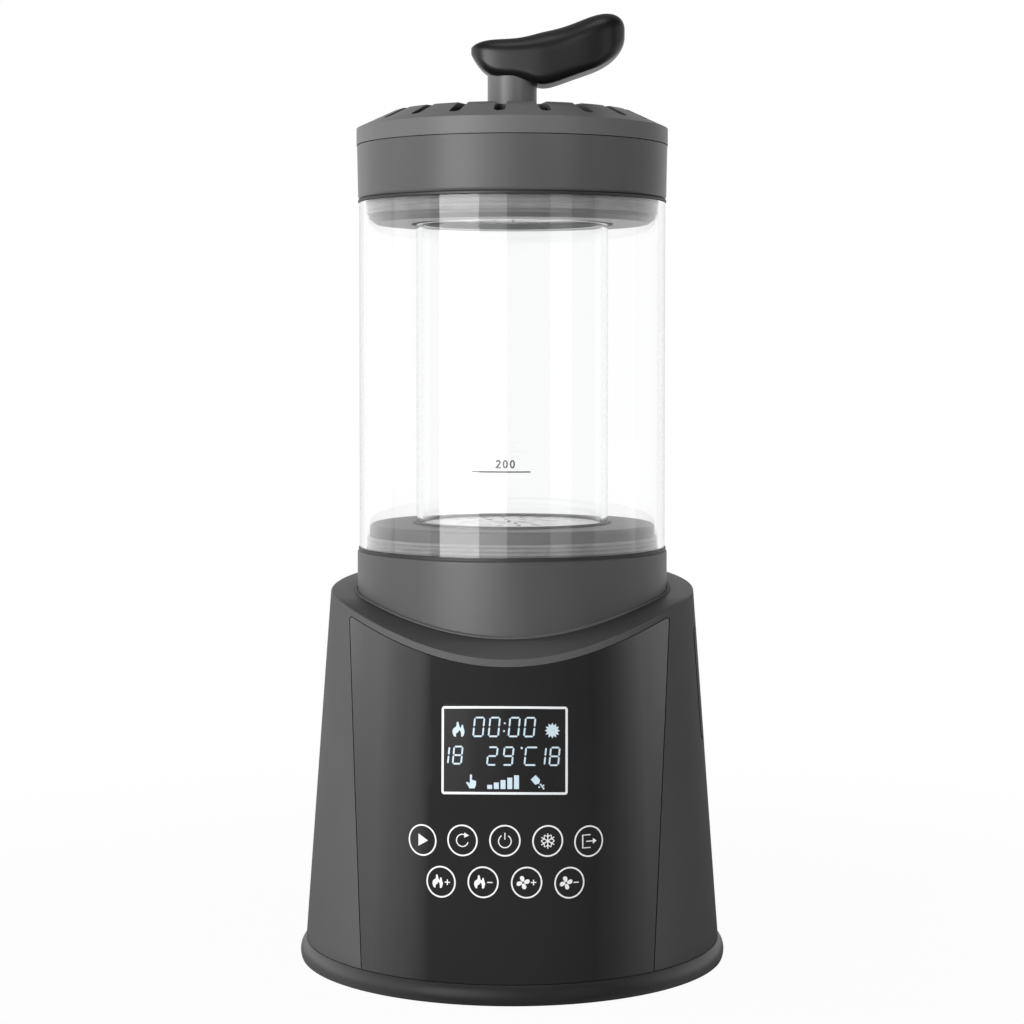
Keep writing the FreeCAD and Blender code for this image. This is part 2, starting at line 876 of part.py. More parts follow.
def base_tray():
    spigot_top = "(seam_level + spigot_height)"
    spigot = skin(spigot_top, "shell_wall + part_gap")
    skirt_chord = "(skirt_flare ^ 2 + (seam_level - foot_height) ^ 2)"
    body = turned_piece(
        "base_tray",
        [
            ("0", "foot_height"),
            (
                "shell_foot_radius + skirt_flare",
                "foot_height",
                1,
                f"({skirt_chord} / (8 * skirt_bulge) + skirt_bulge / 2)",
            ),
            ("shell_foot_radius", "seam_level"),
            (spigot, "seam_level"),
            (spigot, spigot_top),
            (f"{spigot} - spigot_wall", spigot_top),
            (f"{spigot} - spigot_wall", tray_top),
            ("0", tray_top),
        ],
    )
    posts = new_sketch(body, "XY_Plane", "foot_height")
    for across, up, level in spots_round(boss_circle, corner_angles, "0"):
        circle(posts, across, up, "screw_radius + post_wall")
    pad(posts, f"{boss_foot} - boss_gap - foot_height")
    stands = new_sketch(body, "XY_Plane", "foot_height")
    for across, up, level in spots_round(stand_radius, blower_angles, "0"):
        circle(stands, across, up, "screw_radius + post_wall")
    pad(stands, "bowl_foot - foot_height")
    rails = new_sketch(body, "XY_Plane", "foot_height")
    for side in (1, -1):
        middle = f"(power_half - rail_half) * {side}"
        rectangle(
            rails,
            "-power_side - board_thickness - rail_half",
            "-power_side + rail_half",
            f"{middle} - rail_half",
            f"{middle} + rail_half",
        )
    pad(rails, "rail_height")
    board_slot = new_sketch(body, "XY_Plane", "power_foot")
    rectangle(
        board_slot,
        "-power_side - board_thickness - slip_gap",
        "-power_side + slip_gap",
        "-power_half - slip_gap",
        "power_half + slip_gap",
    )
    pocket(board_slot, "rail_height", backward=True)
    holes = new_sketch(body, "XY_Plane")
    for across, up, level in spots_round(boss_circle, corner_angles, "0"):
        circle(holes, across, up, "screw_radius + slip_gap")
    for across, up, level in spots_round("foot_circle_radius", corner_angles, "0"):
        circle(holes, across, up, "foot_neck_radius + slip_gap")
    pocket(holes, backward=True)
    seats = new_sketch(body, "XY_Plane")
    for across, up, level in spots_round(boss_circle, corner_angles, "0"):
        circle(seats, across, up, "screw_head_radius + part_gap")
    pocket(seats, tray_top, backward=True)
    slot = new_sketch(body, "XY_Plane")
    rounded(
        slot,
        "intake_inner",
        "intake_outer",
        "-intake_half_width",
        "intake_half_width",
        "intake_round",
    )
    around(pocket(slot, backward=True), "intake_slots")
    return body


def tray_screws():
    seat = f"{tray_top} - screw_head_height"
    return screws(
        "tray_screws",
        spots_round(boss_circle, corner_angles, seat),
        f"{boss_foot} + screw_grip - {tray_top}",
        "+Z",
    )


def feet():
    """Four rubber feet, each snapped through the floor by a headed neck."""
    made = []
    head_foot = f"({tray_top} + slip_gap)"
    for number, spot in enumerate(spots_round("foot_circle_radius", corner_angles, "0"), start=1):
        body = turned_piece(
            f"foot_{number}",
            [
                ("0", "0"),
                ("foot_radius - foot_height / 2", "0"),
                ("foot_radius", "foot_height"),
                ("foot_neck_radius", "foot_height"),
                ("foot_neck_radius", head_foot),
                ("foot_head_radius", head_foot),
                ("foot_neck_radius", f"{head_foot} + foot_head_height"),
                ("0", f"{head_foot} + foot_head_height"),
            ],
        )
        bind(body, "Placement.Base.x", spot[0])
        bind(body, "Placement.Base.y", spot[1])
        made.append(body)
    return made


# The blower.


def blower_housing():
    """A bowl open at the top, with the motor's cup on three spokes in its eye."""
    eye_level = "(bowl_foot + bowl_wall)"
    body = turned_piece(
        "blower_housing",
        [
            ("bowl_eye", "bowl_foot"),
            ("bowl_radius", "bowl_foot"),
            ("bowl_radius", f"{bowl_top} - bowl_wall"),
            (bowl_rim, f"{bowl_top} - bowl_wall"),
            (bowl_rim, bowl_top),
            ("bowl_radius - bowl_wall", bowl_top),
            ("bowl_radius - bowl_wall", eye_level),
            ("bowl_eye", eye_level),
        ],
    )
    spoke = new_sketch(body, "XY_Plane", "bowl_foot", "90")
    cup_middle = "motor_radius + slip_gap + cup_wall / 2"
    rectangle(spoke, cup_middle, "bowl_eye + cup_wall", "-spoke_half", "spoke_half")
    around(pad(spoke, "bowl_wall"), "3")
    cup = new_sketch(body, "XZ_Plane")
    rectangle(
        cup,
        "motor_radius + slip_gap",
        "motor_radius + slip_gap + cup_wall",
        "motor_foot + cup_wall",
        eye_level,
    )
    spin(cup)
    bores = new_sketch(body, "XY_Plane", "bowl_foot")
    for across, up, level in spots_round(rim_screw_radius, blower_angles, "0"):
        circle(bores, across, up, "screw_radius + slip_gap")
    pocket(bores, backward=True)
    return body


def fan_motor():
    body = turned_piece(
        "fan_motor",
        [
            ("0", "motor_foot"),
            ("motor_radius - cup_wall", "motor_foot"),
            ("motor_radius", "motor_foot + cup_wall"),
            ("motor_radius", "motor_foot + motor_length"),
            ("motor_neck_radius", "motor_foot + motor_length"),
            ("motor_neck_radius", "fan_foot - part_gap * 2"),
            ("shaft_radius + running_gap", "fan_foot - part_gap * 2"),
            ("shaft_radius + running_gap", "motor_foot + shaft_seat"),
            ("0", "motor_foot + shaft_seat"),
        ],
    )
    return body


def motor_shaft():
    foot = "(motor_foot + shaft_seat + part_gap)"
    length = f"fan_foot + fan_height + shaft_radius - {foot}"
    return rod("motor_shaft", "shaft_radius", length, ("0", "0", foot))


def impeller():
    """A hub and a top plate that carry backward-swept blades, open to the eye below."""
    plate_foot = "(fan_foot + fan_height - fan_plate)"
    body = turned_piece(
        "impeller",
        [
            ("shaft_radius", "fan_foot"),
            ("fan_hub_radius", "fan_foot"),
            ("fan_hub_radius", plate_foot),
            ("fan_radius", plate_foot),
            ("fan_radius", "fan_foot + fan_height"),
            ("shaft_radius", "fan_foot + fan_height"),
        ],
    )
    blade = new_sketch(body, "XY_Plane", "fan_foot + part_gap")
    chord = "sqrt(blade_run ^ 2 + blade_sweep ^ 2)"
    across = f"(blade_thickness * blade_sweep / {chord})"
    up = f"(blade_thickness * blade_run / {chord})"
    outline(
        blade,
        [
            ("blade_inner", "0", 1, "blade_bow"),
            ("blade_inner + blade_run", "-blade_sweep"),
            (f"blade_inner + blade_run + {across}", f"{up} - blade_sweep", -1, "blade_bow"),
            (f"blade_inner + {across}", up),
        ],
    )
    around(pad(blade, f"{plate_foot} - fan_foot"), "blade_count")
    return body


# The heater.


def heater_duct():
    cone_level = f"({bowl_top} + duct_wall + duct_cone)"
    body = turned_piece(
        "heater_duct",
        [
            ("bowl_radius - bowl_wall", bowl_top),
            (bowl_rim, bowl_top),
            (bowl_rim, f"{bowl_top} + duct_wall"),
            ("bowl_radius - bowl_wall + duct_wall", f"{bowl_top} + duct_wall"),
            (duct_radius, cone_level),
            (duct_radius, duct_top),
            (f"{duct_radius} - duct_wall", duct_top),
            (f"{duct_radius} - duct_wall", cone_level),
        ],
    )
    bores = new_sketch(body, "XY_Plane", bowl_top)
    for across, up, level in spots_round(rim_screw_radius, blower_angles, "0"):
        circle(bores, across, up, "screw_radius + slip_gap")
    pocket(bores, backward=True)
    probe_hole = new_sketch(body, "YZ_Plane")
    circle(probe_hole, "0", "probe_level", "probe_radius + slip_gap")
    pocket(probe_hole)
    return body


def duct_screws():
    top = f"{bowl_top} + duct_wall + screw_head_height"
    return screws(
        "duct_screws",
        spots_round(rim_screw_radius, blower_angles, top),
        "duct_wall + bowl_wall + short_screw_grip",
        "-Z",
    )


def heater_frame():
    """Two mica sheets slotted through each other, waisted where the ribbon is wound."""
    body = new_body("heater_frame")
    wide = f"({duct_radius} - duct_wall - slip_gap)"
    low = "(mica_low + mica_shoulder)"
    high = "(mica_high - mica_shoulder)"
    for role in ("XZ_Plane", "YZ_Plane"):
        sheet_outline = new_sketch(body, role)
        outline(
            sheet_outline,
            [
                (f"-{wide}", "mica_low"),
                (wide, "mica_low"),
                (wide, low),
                ("mica_waist", low),
                ("mica_waist", high),
                (wide, high),
                (wide, "mica_high"),
                (f"-{wide}", "mica_high"),
                (f"-{wide}", high),
                ("-mica_waist", high),
                ("-mica_waist", low),
                (f"-{wide}", low),
            ],
        )
        pad(sheet_outline, "mica_thickness", side="Symmetric")
    return body


def heater_coil():
    body = new_body("heater_coil")
    sketch = new_sketch(body, "XZ_Plane")
    inner = "(sqrt(mica_waist ^ 2 + mica_thickness ^ 2) + slip_gap)"
    low = "(mica_low + mica_shoulder + part_gap)"
    rectangle(sketch, inner, f"{inner} + ribbon_thickness", low, f"{low} + ribbon_width")
    coil = body.newObject("PartDesign::AdditiveHelix", "heater_coil_wound")
    coil.Profile = sketch
    coil.ReferenceAxis = (sketch, ["V_Axis"])
    coil.Mode = "pitch-turns-angle"
    bind(coil, "Pitch", "ribbon_pitch")
    bind(coil, "Turns", "ribbon_turns")
    return body


def thermal_cutout():
    """A disc thermostat that sits on the duct's side."""
    seat = (duct_radius, "0", "cutout_level")
    return rod("thermal_cutout", "cutout_radius", "cutout_depth", seat, "+X")


def temperature_probe():
    body = new_body("temperature_probe")
    stem = new_sketch(body, "YZ_Plane", f"-{duct_radius} + probe_length")
    circle(stem, "0", "probe_level", "probe_radius")
    pad(stem, "probe_length + probe_tail", backward=True)
    nut = new_sketch(body, "YZ_Plane", f"-{duct_radius}")
    circle(nut, "0", "probe_level", "probe_nut_radius")
    pad(nut, "probe_nut_height", backward=True)
    return body


# Power electronics and the appliance inlet.


def power_board():
    return block(
        "power_board",
        ("-power_side - board_thickness", "-power_half", "power_foot"),
        ("-power_side", "power_half", "power_foot + power_height"),
    )


def power_relay():
    low = ("-power_side", "-power_half + rail_half", "power_foot + relay_level")
    return block("power_relay", low, [f"{place} + relay_size" for place in low])


def filter_capacitor():
    foot = (
        "-power_side",
        "power_half - rail_half - capacitor_radius",
        "power_foot + relay_level + capacitor_radius",
    )
    return rod("filter_capacitor", "capacitor_radius", "capacitor_length", foot, "+X")


inlet_face = f"({skin('inlet_level', 'inlet_inset')})"


def pin_places():
    """Middles of the three pins: one above two."""
    return [
        ("0", "inlet_level + pin_height"),
        ("-pin_spacing", "inlet_level - pin_height / 2"),
        ("pin_spacing", "inlet_level - pin_height / 2"),
    ]


def pin_outline(sketch):
    for across, up in pin_places():
        rectangle(
            sketch,
            f"{across} - pin_half",
            f"{across} + pin_half",
            f"{up} - pin_height / 2",
            f"{up} + pin_height / 2",
        )


def power_inlet():
    body = new_body("power_inlet")
    flange = new_sketch(body, "XZ_Plane", f"-{inlet_face}")
    rectangle(
        flange,
        "-inlet_half_width",
        "inlet_half_width",
        "inlet_level - inlet_half_height",
        "inlet_level + inlet_half_height",
    )
    pad(flange, "inlet_flange")
    barrel = new_sketch(body, "XZ_Plane", f"-{inlet_face}")
    rectangle(
        barrel,
        "inlet_rim - inlet_half_width",
        "inlet_half_width - inlet_rim",
        "inlet_level - inlet_half_height + inlet_rim",
        "inlet_level + inlet_half_height - inlet_rim",
    )
    pad(barrel, "inlet_depth")
    mouth = new_sketch(body, "XZ_Plane", f"-{inlet_face}")
    outline(
        mouth,
        [
            ("-socket_half_width", "inlet_level - socket_half_height"),
            ("socket_half_width", "inlet_level - socket_half_height"),
            ("socket_half_width", "inlet_level + socket_half_height / 2"),
            ("socket_crown_half", "inlet_level + socket_half_height"),
            ("-socket_crown_half", "inlet_level + socket_half_height"),
            ("-socket_half_width", "inlet_level + socket_half_height / 2"),
        ],
    )
    pocket(mouth, "socket_depth", backward=True)
    through = new_sketch(body, "XZ_Plane", f"-{inlet_face}")
    pin_outline(through)
    pocket(through, backward=True)
    return body


def inlet_pins():
    body = new_body("inlet_pins")
    sketch = new_sketch(body, "XZ_Plane", f"-{inlet_face} + pin_mouth")
    pin_outline(sketch)
    pad(sketch, "inlet_depth")
    return body


# The socket in the crown and the chamber that lifts out of it.


def chamber_socket():
    body = turned_piece(
        "chamber_socket",
        [
            (socket_mouth, duct_top),
            ("socket_flange_radius", duct_top),
            ("socket_flange_radius", "socket_floor_level - slip_gap"),
            (socket_outer, "socket_floor_level - slip_gap"),
            (socket_outer, cone_top),
            (socket_inner, cone_top),
            (socket_inner, "socket_floor_level"),
            (socket_mouth, "socket_floor_level"),
        ],
    )
    sketch = new_sketch(body, "YZ_Plane")
    crown_area(sketch, "socket_lip")
    pocket(sketch, side="Symmetric")
    holes = new_sketch(body, "XY_Plane")
    for across, up, level in spots_round("socket_post_circle_radius", socket_angles, "0"):
        circle(holes, across, up, "screw_radius + slip_gap")
    pocket(holes, backward=True)
    return body


def socket_screws():
    return screws(
        "socket_screws",
        spots_round("socket_post_circle_radius", socket_angles, f"{duct_top} - screw_head_height"),
        "socket_floor + screw_grip",
        "+Z",
    )


def jar_base():
    """Collar, plug and disc in one moulding; the inner tube stands in the disc's ring."""
    rebate = "(tube_radius - tube_wall - slip_gap)"
    ring_inner = "(tube_radius + slip_gap * 2)"
    rebate_floor = f"({disc_top} - plate_thickness - plate_flange)"
    disc_foot = f"({disc_top} - disc_thickness)"
    ledge = f"({collar_top} - collar_wall)"
    return turned_piece(
        "jar_base",
        [
            ("collar_radius - collar_wall", jar_foot),
            ("collar_radius", jar_foot),
            ("collar_radius", f"{collar_top} - edge_round", 1, "edge_round"),
            ("collar_radius - edge_round", collar_top),
            ("plug_radius", collar_top),
            ("plug_radius", f"{disc_top} - disc_round", 1, "disc_round"),
            ("plug_radius - disc_round", disc_top),
            (f"{ring_inner} + tube_ring_wall", disc_top),
            (f"{ring_inner} + tube_ring_wall", f"{disc_top} + tube_ring_height"),
            (ring_inner, f"{disc_top} + tube_ring_height"),
            (ring_inner, disc_top),
            (rebate, disc_top),
            (rebate, rebate_floor),
            (f"{sleeve_radius} + slip_gap", rebate_floor),
            (f"{sleeve_radius} + slip_gap", disc_foot),
            ("plug_radius - collar_wall", disc_foot),
            ("plug_radius - collar_wall", ledge),
            ("collar_radius - collar_wall", ledge),
        ],
    )


def air_sleeve():
    """Steel throat that leads the hot air from the duct to the plate."""
    top = f"({disc_top} - plate_thickness)"
    return turned_piece(
        "air_sleeve",
        [
            (f"{sleeve_radius} - sleeve_wall", f"{jar_foot} + part_gap"),
            (sleeve_radius, f"{jar_foot} + part_gap"),
            (sleeve_radius, f"{top} - plate_flange"),
            ("tube_radius - tube_wall - part_gap", f"{top} - plate_flange"),
            ("tube_radius - tube_wall - part_gap", top),
            (f"{sleeve_radius} - sleeve_wall", top),
        ],
    )


def air_plate():
    """The chamber's steel floor, slotted in rings so that the air swirls."""
    edge = "(tube_radius - tube_wall - part_gap)"
    body = new_body("air_plate")
    disc = new_sketch(body, "XY_Plane", f"{disc_top} - plate_thickness")
    circle(disc, "0", "0", edge)
    pad(disc, "plate_thickness")
    for ring_number in range(1, round(sizes["plate_rings"]) + 1):
        slot = new_sketch(body, "XY_Plane", f"{disc_top} - plate_thickness")
        outer = f"({edge} * {ring_number} / plate_rings - plate_slot_margin)"
        aside = f"(plate_swirl * {ring_number} / plate_rings)"
        rectangle(
            slot,
            f"{outer} - plate_slot_length",
            outer,
            f"{aside} - plate_slot_half",
            f"{aside} + plate_slot_half",
        )
        around(pocket(slot, backward=True), f"plate_slots * {ring_number}")
    return body


def ridged_seal(label, low, high):
    """A silicone band on the plug with soft ridges that grip the glass."""
    start = f"(({low} + {high}) / 2 - seal_pitch * seal_ridges / 2)"
    corners = [("plug_radius", low), ("plug_radius + seal_base", low)]
    for step in range(round(sizes["seal_ridges"])):
        root = f"({start} + seal_pitch * {step})"
        corners.append(("plug_radius + seal_base", f"{root} + seal_root"))
        corners.append(("plug_radius + seal_ridge", f"{root} + seal_pitch / 2"))
        corners.append(("plug_radius + seal_base", f"{root} + seal_pitch - seal_root"))
    corners.append(("plug_radius + seal_base", high))
    corners.append(("plug_radius", high))
    return turned_piece(label, corners)


def jar_seal():
    return ridged_seal("jar_seal", glass_foot, f"{glass_foot} + seal_pitch * seal_ridges")


def jar_gasket():
    return ring("jar_gasket", glass_inner, gasket_outer, collar_top, glass_foot)


def outer_glass():
    return ring("outer_glass", glass_inner, "glass_radius", glass_foot, glass_top)


def inner_glass():
    top = f"{plug_foot} - part_gap"
    return ring("inner_glass", "tube_radius - tube_wall", "tube_radius", disc_top, top)


# The lid.


def lid_gasket():
    return ring("lid_gasket", glass_inner, gasket_outer, f"{glass_top} + part_gap", lid_foot)


def lid_seal():
    top = f"({glass_top} - seal_drop)"
    return ridged_seal("lid_seal", f"{top} - seal_pitch * seal_ridges", top)


def lid_body():
    wall = "lid_wall"
    body = turned_piece(
        "lid_body",
        [
            ("screen_hole", plug_foot),
            ("plug_radius - plug_chamfer", plug_foot),
            ("plug_radius", f"{plug_foot} + plug_chamfer_rise"),
            ("plug_radius", lid_foot),
            ("lid_radius - lid_round", lid_foot, 1, "lid_round"),
            ("lid_radius", f"{lid_foot} + lid_round"),
            (lid_top_radius, lid_top),
            (f"{lid_top_radius} - {wall}", lid_top),
            (f"lid_radius - {wall}", f"{lid_foot} + {wall}"),
            (f"plug_radius - {wall}", f"{lid_foot} + {wall}"),
            (f"plug_radius - {wall}", f"{plug_foot} + {wall}"),
            ("screen_hole", f"{plug_foot} + {wall}"),
        ],
    )
    tab = new_sketch(body, "XZ_Plane")
    rectangle(
        tab,
        f"{lid_top_radius} - lid_wall - tab_reach",
        f"{lid_top_radius} - lid_wall / 2",
        f"{lid_top} - tab_drop - tab_height",
        f"{lid_top} - tab_drop",
    )
    around(spin(tab, degrees="tab_angle"), "tab_count")
    return body


def chaff_screen():
    """A perforated steel tray in the plug that holds the chaff back."""
    low = f"({plug_foot} + lid_wall)"
    edge = "(plug_radius - lid_wall - part_gap)"
    body = turned_piece(
        "chaff_screen",
        [
            ("0", low),
            (edge, low),
            (edge, f"{low} + screen_rim"),
            (f"{edge} - screen_thickness", f"{low} + screen_rim"),
            (f"{edge} - screen_thickness", f"{low} + screen_thickness"),
            ("0", f"{low} + screen_thickness"),
        ],
    )
    for ring_number in (1, 2):
        slot = new_sketch(body, "XY_Plane", low)
        outer = f"(screen_hole * {ring_number} / 2 - plate_slot_margin)"
        inner = f"{outer} - screen_slot_length"
        rectangle(slot, inner, outer, "-screen_slot_half", "screen_slot_half")
        around(pocket(slot, "screen_thickness", backward=True), f"screen_slots * {ring_number}")
    return body


# The vent cap, held on the lid by three lugs, and its handle.


def vent_cap():
    rise = f"(({cap_top} - {cap_shoulder}) / ({cap_radius} - cap_flat_radius))"
    body = turned_piece(
        "vent_cap",
        [
            (f"{cap_radius} - cap_wall", cap_foot),
            (cap_radius, cap_foot),
            (cap_radius, cap_shoulder),
            ("cap_flat_radius", cap_top),
            ("screw_radius + slip_gap", cap_top),
            ("screw_radius + slip_gap", f"{cap_top} - cap_wall"),
            ("cap_flat_radius", f"{cap_top} - cap_wall"),
            (f"{cap_radius} - cap_wall", f"{cap_shoulder} + cap_wall * {rise} - cap_wall"),
        ],
    )
    tab_foot = f"({lid_top} - tab_drop - tab_height)"
    skirt_outer = f"({lid_top_radius} - lid_wall - tab_reach - part_gap)"
    skirt_foot = f"({tab_foot} - part_gap - tab_height)"
    skirt = new_sketch(body, "XZ_Plane")
    rectangle(
        skirt,
        f"{skirt_outer} - cap_skirt_wall",
        skirt_outer,
        skirt_foot,
        f"{cap_shoulder} + ({cap_radius} - {skirt_outer}) * {rise} - cap_wall / 2",
    )
    spin(skirt)
    lug = new_sketch(body, "XZ_Plane")
    rectangle(
        lug,
        f"{skirt_outer} - cap_skirt_wall / 2",
        "lid_radius - lid_wall - part_gap / 2",
        skirt_foot,
        f"{tab_foot} - part_gap",
    )
    around(spin(lug, degrees="lug_angle"), "tab_count")
    slot = new_sketch(body, "XY_Plane", f"{cap_top} + part_gap", "slot_turn")
    rounded(slot, "slot_inner", "slot_outer", "-slot_half", "slot_half", "slot_round")
    slot_floor = f"({cap_shoulder} + ({cap_radius} - slot_outer) * {rise} - cap_wall - part_gap)"
    around(pocket(slot, f"{cap_top} + part_gap - {slot_floor}"), "slot_count")
    return body


def handle_post():
    top = f"{cap_top} + post_height"
    return ring("handle_post", "screw_radius + slip_gap", "post_radius", cap_top, top)


def handle_grip():
    """A soft lever lofted through its sections, hollowed for the post and the screw."""
    body = new_body("handle_grip")
    sections = []
    for name in grip_sections:
        section = new_sketch(body, "YZ_Plane", f"{name}_place")
        crown_round = f"(min({name}_half; ({name}_high - {name}_low) / 2) * grip_softness)"
        rounded(
            section,
            f"-{name}_half",
            f"{name}_half",
            f"{cap_top} + {name}_low",
            f"{cap_top} + {name}_high",
            crown_round,
            f"min({crown_round}; grip_belly_round)",
        )
        sections.append(section)
    loft = body.newObject("PartDesign::AdditiveLoft", "handle_grip_loft")
    loft.Profile = sections[0]
    loft.Sections = sections[1:]
    socket = new_sketch(body, "XY_Plane", cap_top)
    circle(socket, "0", "0", "post_radius + slip_gap")
    pocket(socket, "post_height", backward=True)
    pilot = new_sketch(body, "XY_Plane", cap_top)
    circle(pilot, "0", "0", "screw_radius")
    pocket(pilot, "post_height + screw_grip + part_gap", backward=True)
    return body


def handle_screw():
    return screws(
        "handle_screw",
        [("0", "0", f"{cap_top} - cap_wall - screw_head_height")],
        "cap_wall + post_height + screw_grip",
        "+Z",
    )


pieces = [
    outer_shell(),
    front_panel(),
    display_bezel(),
    display_window(),
    display_module(),
    control_board(),
    board_screws(),
    touch_pads(),
    side_cover(),
    base_tray(),
    tray_screws(),
    *feet(),
    blower_housing(),
    fan_motor(),
    motor_shaft(),
    impeller(),
    heater_duct(),
    duct_screws(),
    heater_frame(),
    heater_coil(),
    thermal_cutout(),
    temperature_probe(),
    power_board(),
    power_relay(),
    filter_capacitor(),
    power_inlet(),
    inlet_pins(),
    chamber_socket(),
    socket_screws(),
    jar_base(),
    jar_seal(),
    jar_gasket(),
    outer_glass(),
    inner_glass(),
    air_plate(),
    air_sleeve(),
    lid_body(),
    lid_seal(),
    lid_gasket(),
    chaff_screen(),
    vent_cap(),
    handle_post(),
    handle_grip(),
    handle_screw(),
]
doc.recompute()

for item in doc.Objects:
    if "Invalid" in item.State or "Error" in item.State:
        raise RuntimeError(f"{item.Label} did not recompute: {item.State}")

os.makedirs("parts", exist_ok=True)
for piece in pieces:
    shape = piece.Shape
    if shape.isNull() or not shape.isValid() or not shape.Solids:
        raise RuntimeError(f"{piece.Label} has no sound shape")
    shape.exportStep(f"parts/{piece.Label}.step")
print(f"{len(pieces)} pieces written")
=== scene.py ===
import math

import bpy
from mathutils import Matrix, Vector


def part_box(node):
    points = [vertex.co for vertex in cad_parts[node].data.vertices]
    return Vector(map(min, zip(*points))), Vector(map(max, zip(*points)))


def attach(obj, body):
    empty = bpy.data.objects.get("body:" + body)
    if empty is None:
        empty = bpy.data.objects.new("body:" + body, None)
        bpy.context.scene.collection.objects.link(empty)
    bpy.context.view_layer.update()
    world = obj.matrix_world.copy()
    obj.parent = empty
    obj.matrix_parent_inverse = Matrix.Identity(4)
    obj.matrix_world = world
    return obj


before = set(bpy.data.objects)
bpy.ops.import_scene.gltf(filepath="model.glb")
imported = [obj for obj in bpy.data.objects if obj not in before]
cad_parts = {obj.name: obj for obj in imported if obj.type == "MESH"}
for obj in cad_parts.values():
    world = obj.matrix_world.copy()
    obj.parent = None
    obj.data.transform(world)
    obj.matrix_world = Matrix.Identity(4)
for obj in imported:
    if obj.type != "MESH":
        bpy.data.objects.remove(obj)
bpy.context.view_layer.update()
scene = bpy.context.scene
mm = 0.001
print("frame loaded:", len(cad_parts), "nodes")


# camera, level with the glass and slightly to the right of the middle

mainView = {
    "distance": 1.020,
    "eyeHeight": 0.2570,
    "azimuth": 1.7,
    "pitch": 2.0,
    "lens": 84.10,
    "sensor": 36.0,
    "shiftX": -0.0002,
    "shiftY": -0.072,
    "nearest": 0.01,
}
bounces = {"all": 20, "glass": 20, "clear": 24}


def addCamera(view):
    turn = math.radians(view["azimuth"])
    place = Vector((math.sin(turn), -math.cos(turn), 0)) * view["distance"]
    place.z = view["eyeHeight"]
    tilt = math.radians(90 - view["pitch"])
    bpy.ops.object.camera_add(location=place, rotation=(tilt, 0, turn))
    camera = bpy.context.object
    camera.data.sensor_width = view["sensor"]
    camera.data.lens = view["lens"]
    camera.data.shift_x = view["shiftX"]
    camera.data.shift_y = view["shiftY"]
    camera.data.clip_start = view["nearest"]
    scene.camera = camera


addCamera(mainView)
scene.view_settings.view_transform = "Standard"
scene.cycles.max_bounces = bounces["all"]
scene.cycles.transmission_bounces = bounces["glass"]
scene.cycles.transparent_max_bounces = bounces["clear"]
print("camera placed")


# studio: a ring of soft boxes, each given by the middle and the width of the arc it fills,
# and one lamp above the front

softLamps = {
    "key": {"azimuth": -37, "arc": 30, "brightness": 7.6},
    "keyEdge": {"azimuth": -12, "arc": 20, "brightness": 2.6},
    "leftWall": {"azimuth": -77, "arc": 34, "brightness": 0.85},
    "leftBack": {"azimuth": -120, "arc": 44, "brightness": 0.35},
    "frontRight": {"azimuth": 37, "arc": 16, "brightness": 1.3},
    "rightWall": {"azimuth": 84, "arc": 40, "brightness": 0.85},
}
lampRing = {"distance": 1.25, "low": 0.02, "high": 1.15}
overhead = {"height": 1.7, "front": 0.35, "size": 0.6, "power": 3.0, "aimHeight": 0.22}


def addLamp(name, place, size, power, aim):
    bpy.ops.object.light_add(type="AREA", location=place)
    light = bpy.context.object
    light.name = name
    light.rotation_euler = (aim - place).to_track_quat("-Z", "Y").to_euler()
    light.data.shape = "RECTANGLE"
    light.data.size, light.data.size_y = size
    light.data.energy = power
    light.visible_camera = False
    light.visible_transmission = False


def addRingLamp(name, lamp, ring):
    turn = math.radians(lamp["azimuth"])
    reach = ring["distance"]
    middle = (ring["low"] + ring["high"]) / 2
    place = Vector((reach * math.sin(turn), -reach * math.cos(turn), middle))
    width = 2 * reach * math.tan(math.radians(lamp["arc"] / 2))
    tall = ring["high"] - ring["low"]
    power = lamp["brightness"] * math.pi * width * tall
    addLamp(name, place, (width, tall), power, Vector((0, 0, middle)))


def addOverhead(look):
    place = Vector((0, -look["front"], look["height"]))
    aim = Vector((0, 0, look["aimHeight"]))
    addLamp("overhead", place, (look["size"], look["size"]), look["power"], aim)


for lampName, lampValues in softLamps.items():
    addRingLamp(lampName, lampValues, lampRing)
addOverhead(overhead)


# shader helpers

white = (1, 1, 1, 1)
patternRange = (0.3, 0.7)
colorRange = (0.32, 0.68)


def newMaterial(name):
    material = bpy.data.materials.new(name)
    material.use_nodes = True
    material.node_tree.nodes.clear()
    return material, material.node_tree


def feed(tree, socket, given):
    # an input takes another node's output, or a plain value
    if isinstance(given, bpy.types.NodeSocket):
        tree.links.new(given, socket)
    else:
        socket.default_value = given


def addNode(tree, kind, *inOrder, **settings):
    # a setting is a property of the node, or else one of its inputs, with _ for a space;
    # inputs that share a name are given in their order
    node = tree.nodes.new(kind)
    for key, given in settings.items():
        if hasattr(node, key):
            setattr(node, key, given)
        else:
            feed(tree, node.inputs[key.replace("_", " ")], given)
    for socket, given in zip(node.inputs, inOrder):
        feed(tree, socket, given)
    return node


def calculated(tree, operation, first, second):
    return addNode(tree, "ShaderNodeMath", first, second, operation=operation).outputs[0]


def ranged(tree, source, given, wanted, curve="LINEAR"):
    # maps one range of a value to another, and keeps it inside
    ramp = addNode(
        tree,
        "ShaderNodeMapRange",
        clamp=True,
        interpolation_type=curve,
        Value=source,
        From_Min=given[0],
        From_Max=given[1],
        To_Min=wanted[0],
        To_Max=wanted[1],
    )
    return ramp.outputs[0]


def mixed(tree, share, first, second):
    # the first colour at a share of 0, the second at 1
    mix = addNode(tree, "ShaderNodeMixRGB", Fac=share, Color1=first, Color2=second)
    return mix.outputs["Color"]


def layered(tree, share, first, second):
    # the first shader at a share of 0, the second at 1
    mix = addNode(tree, "ShaderNodeMixShader", share, first.outputs[0], second.outputs[0])
    return mix.outputs[0]


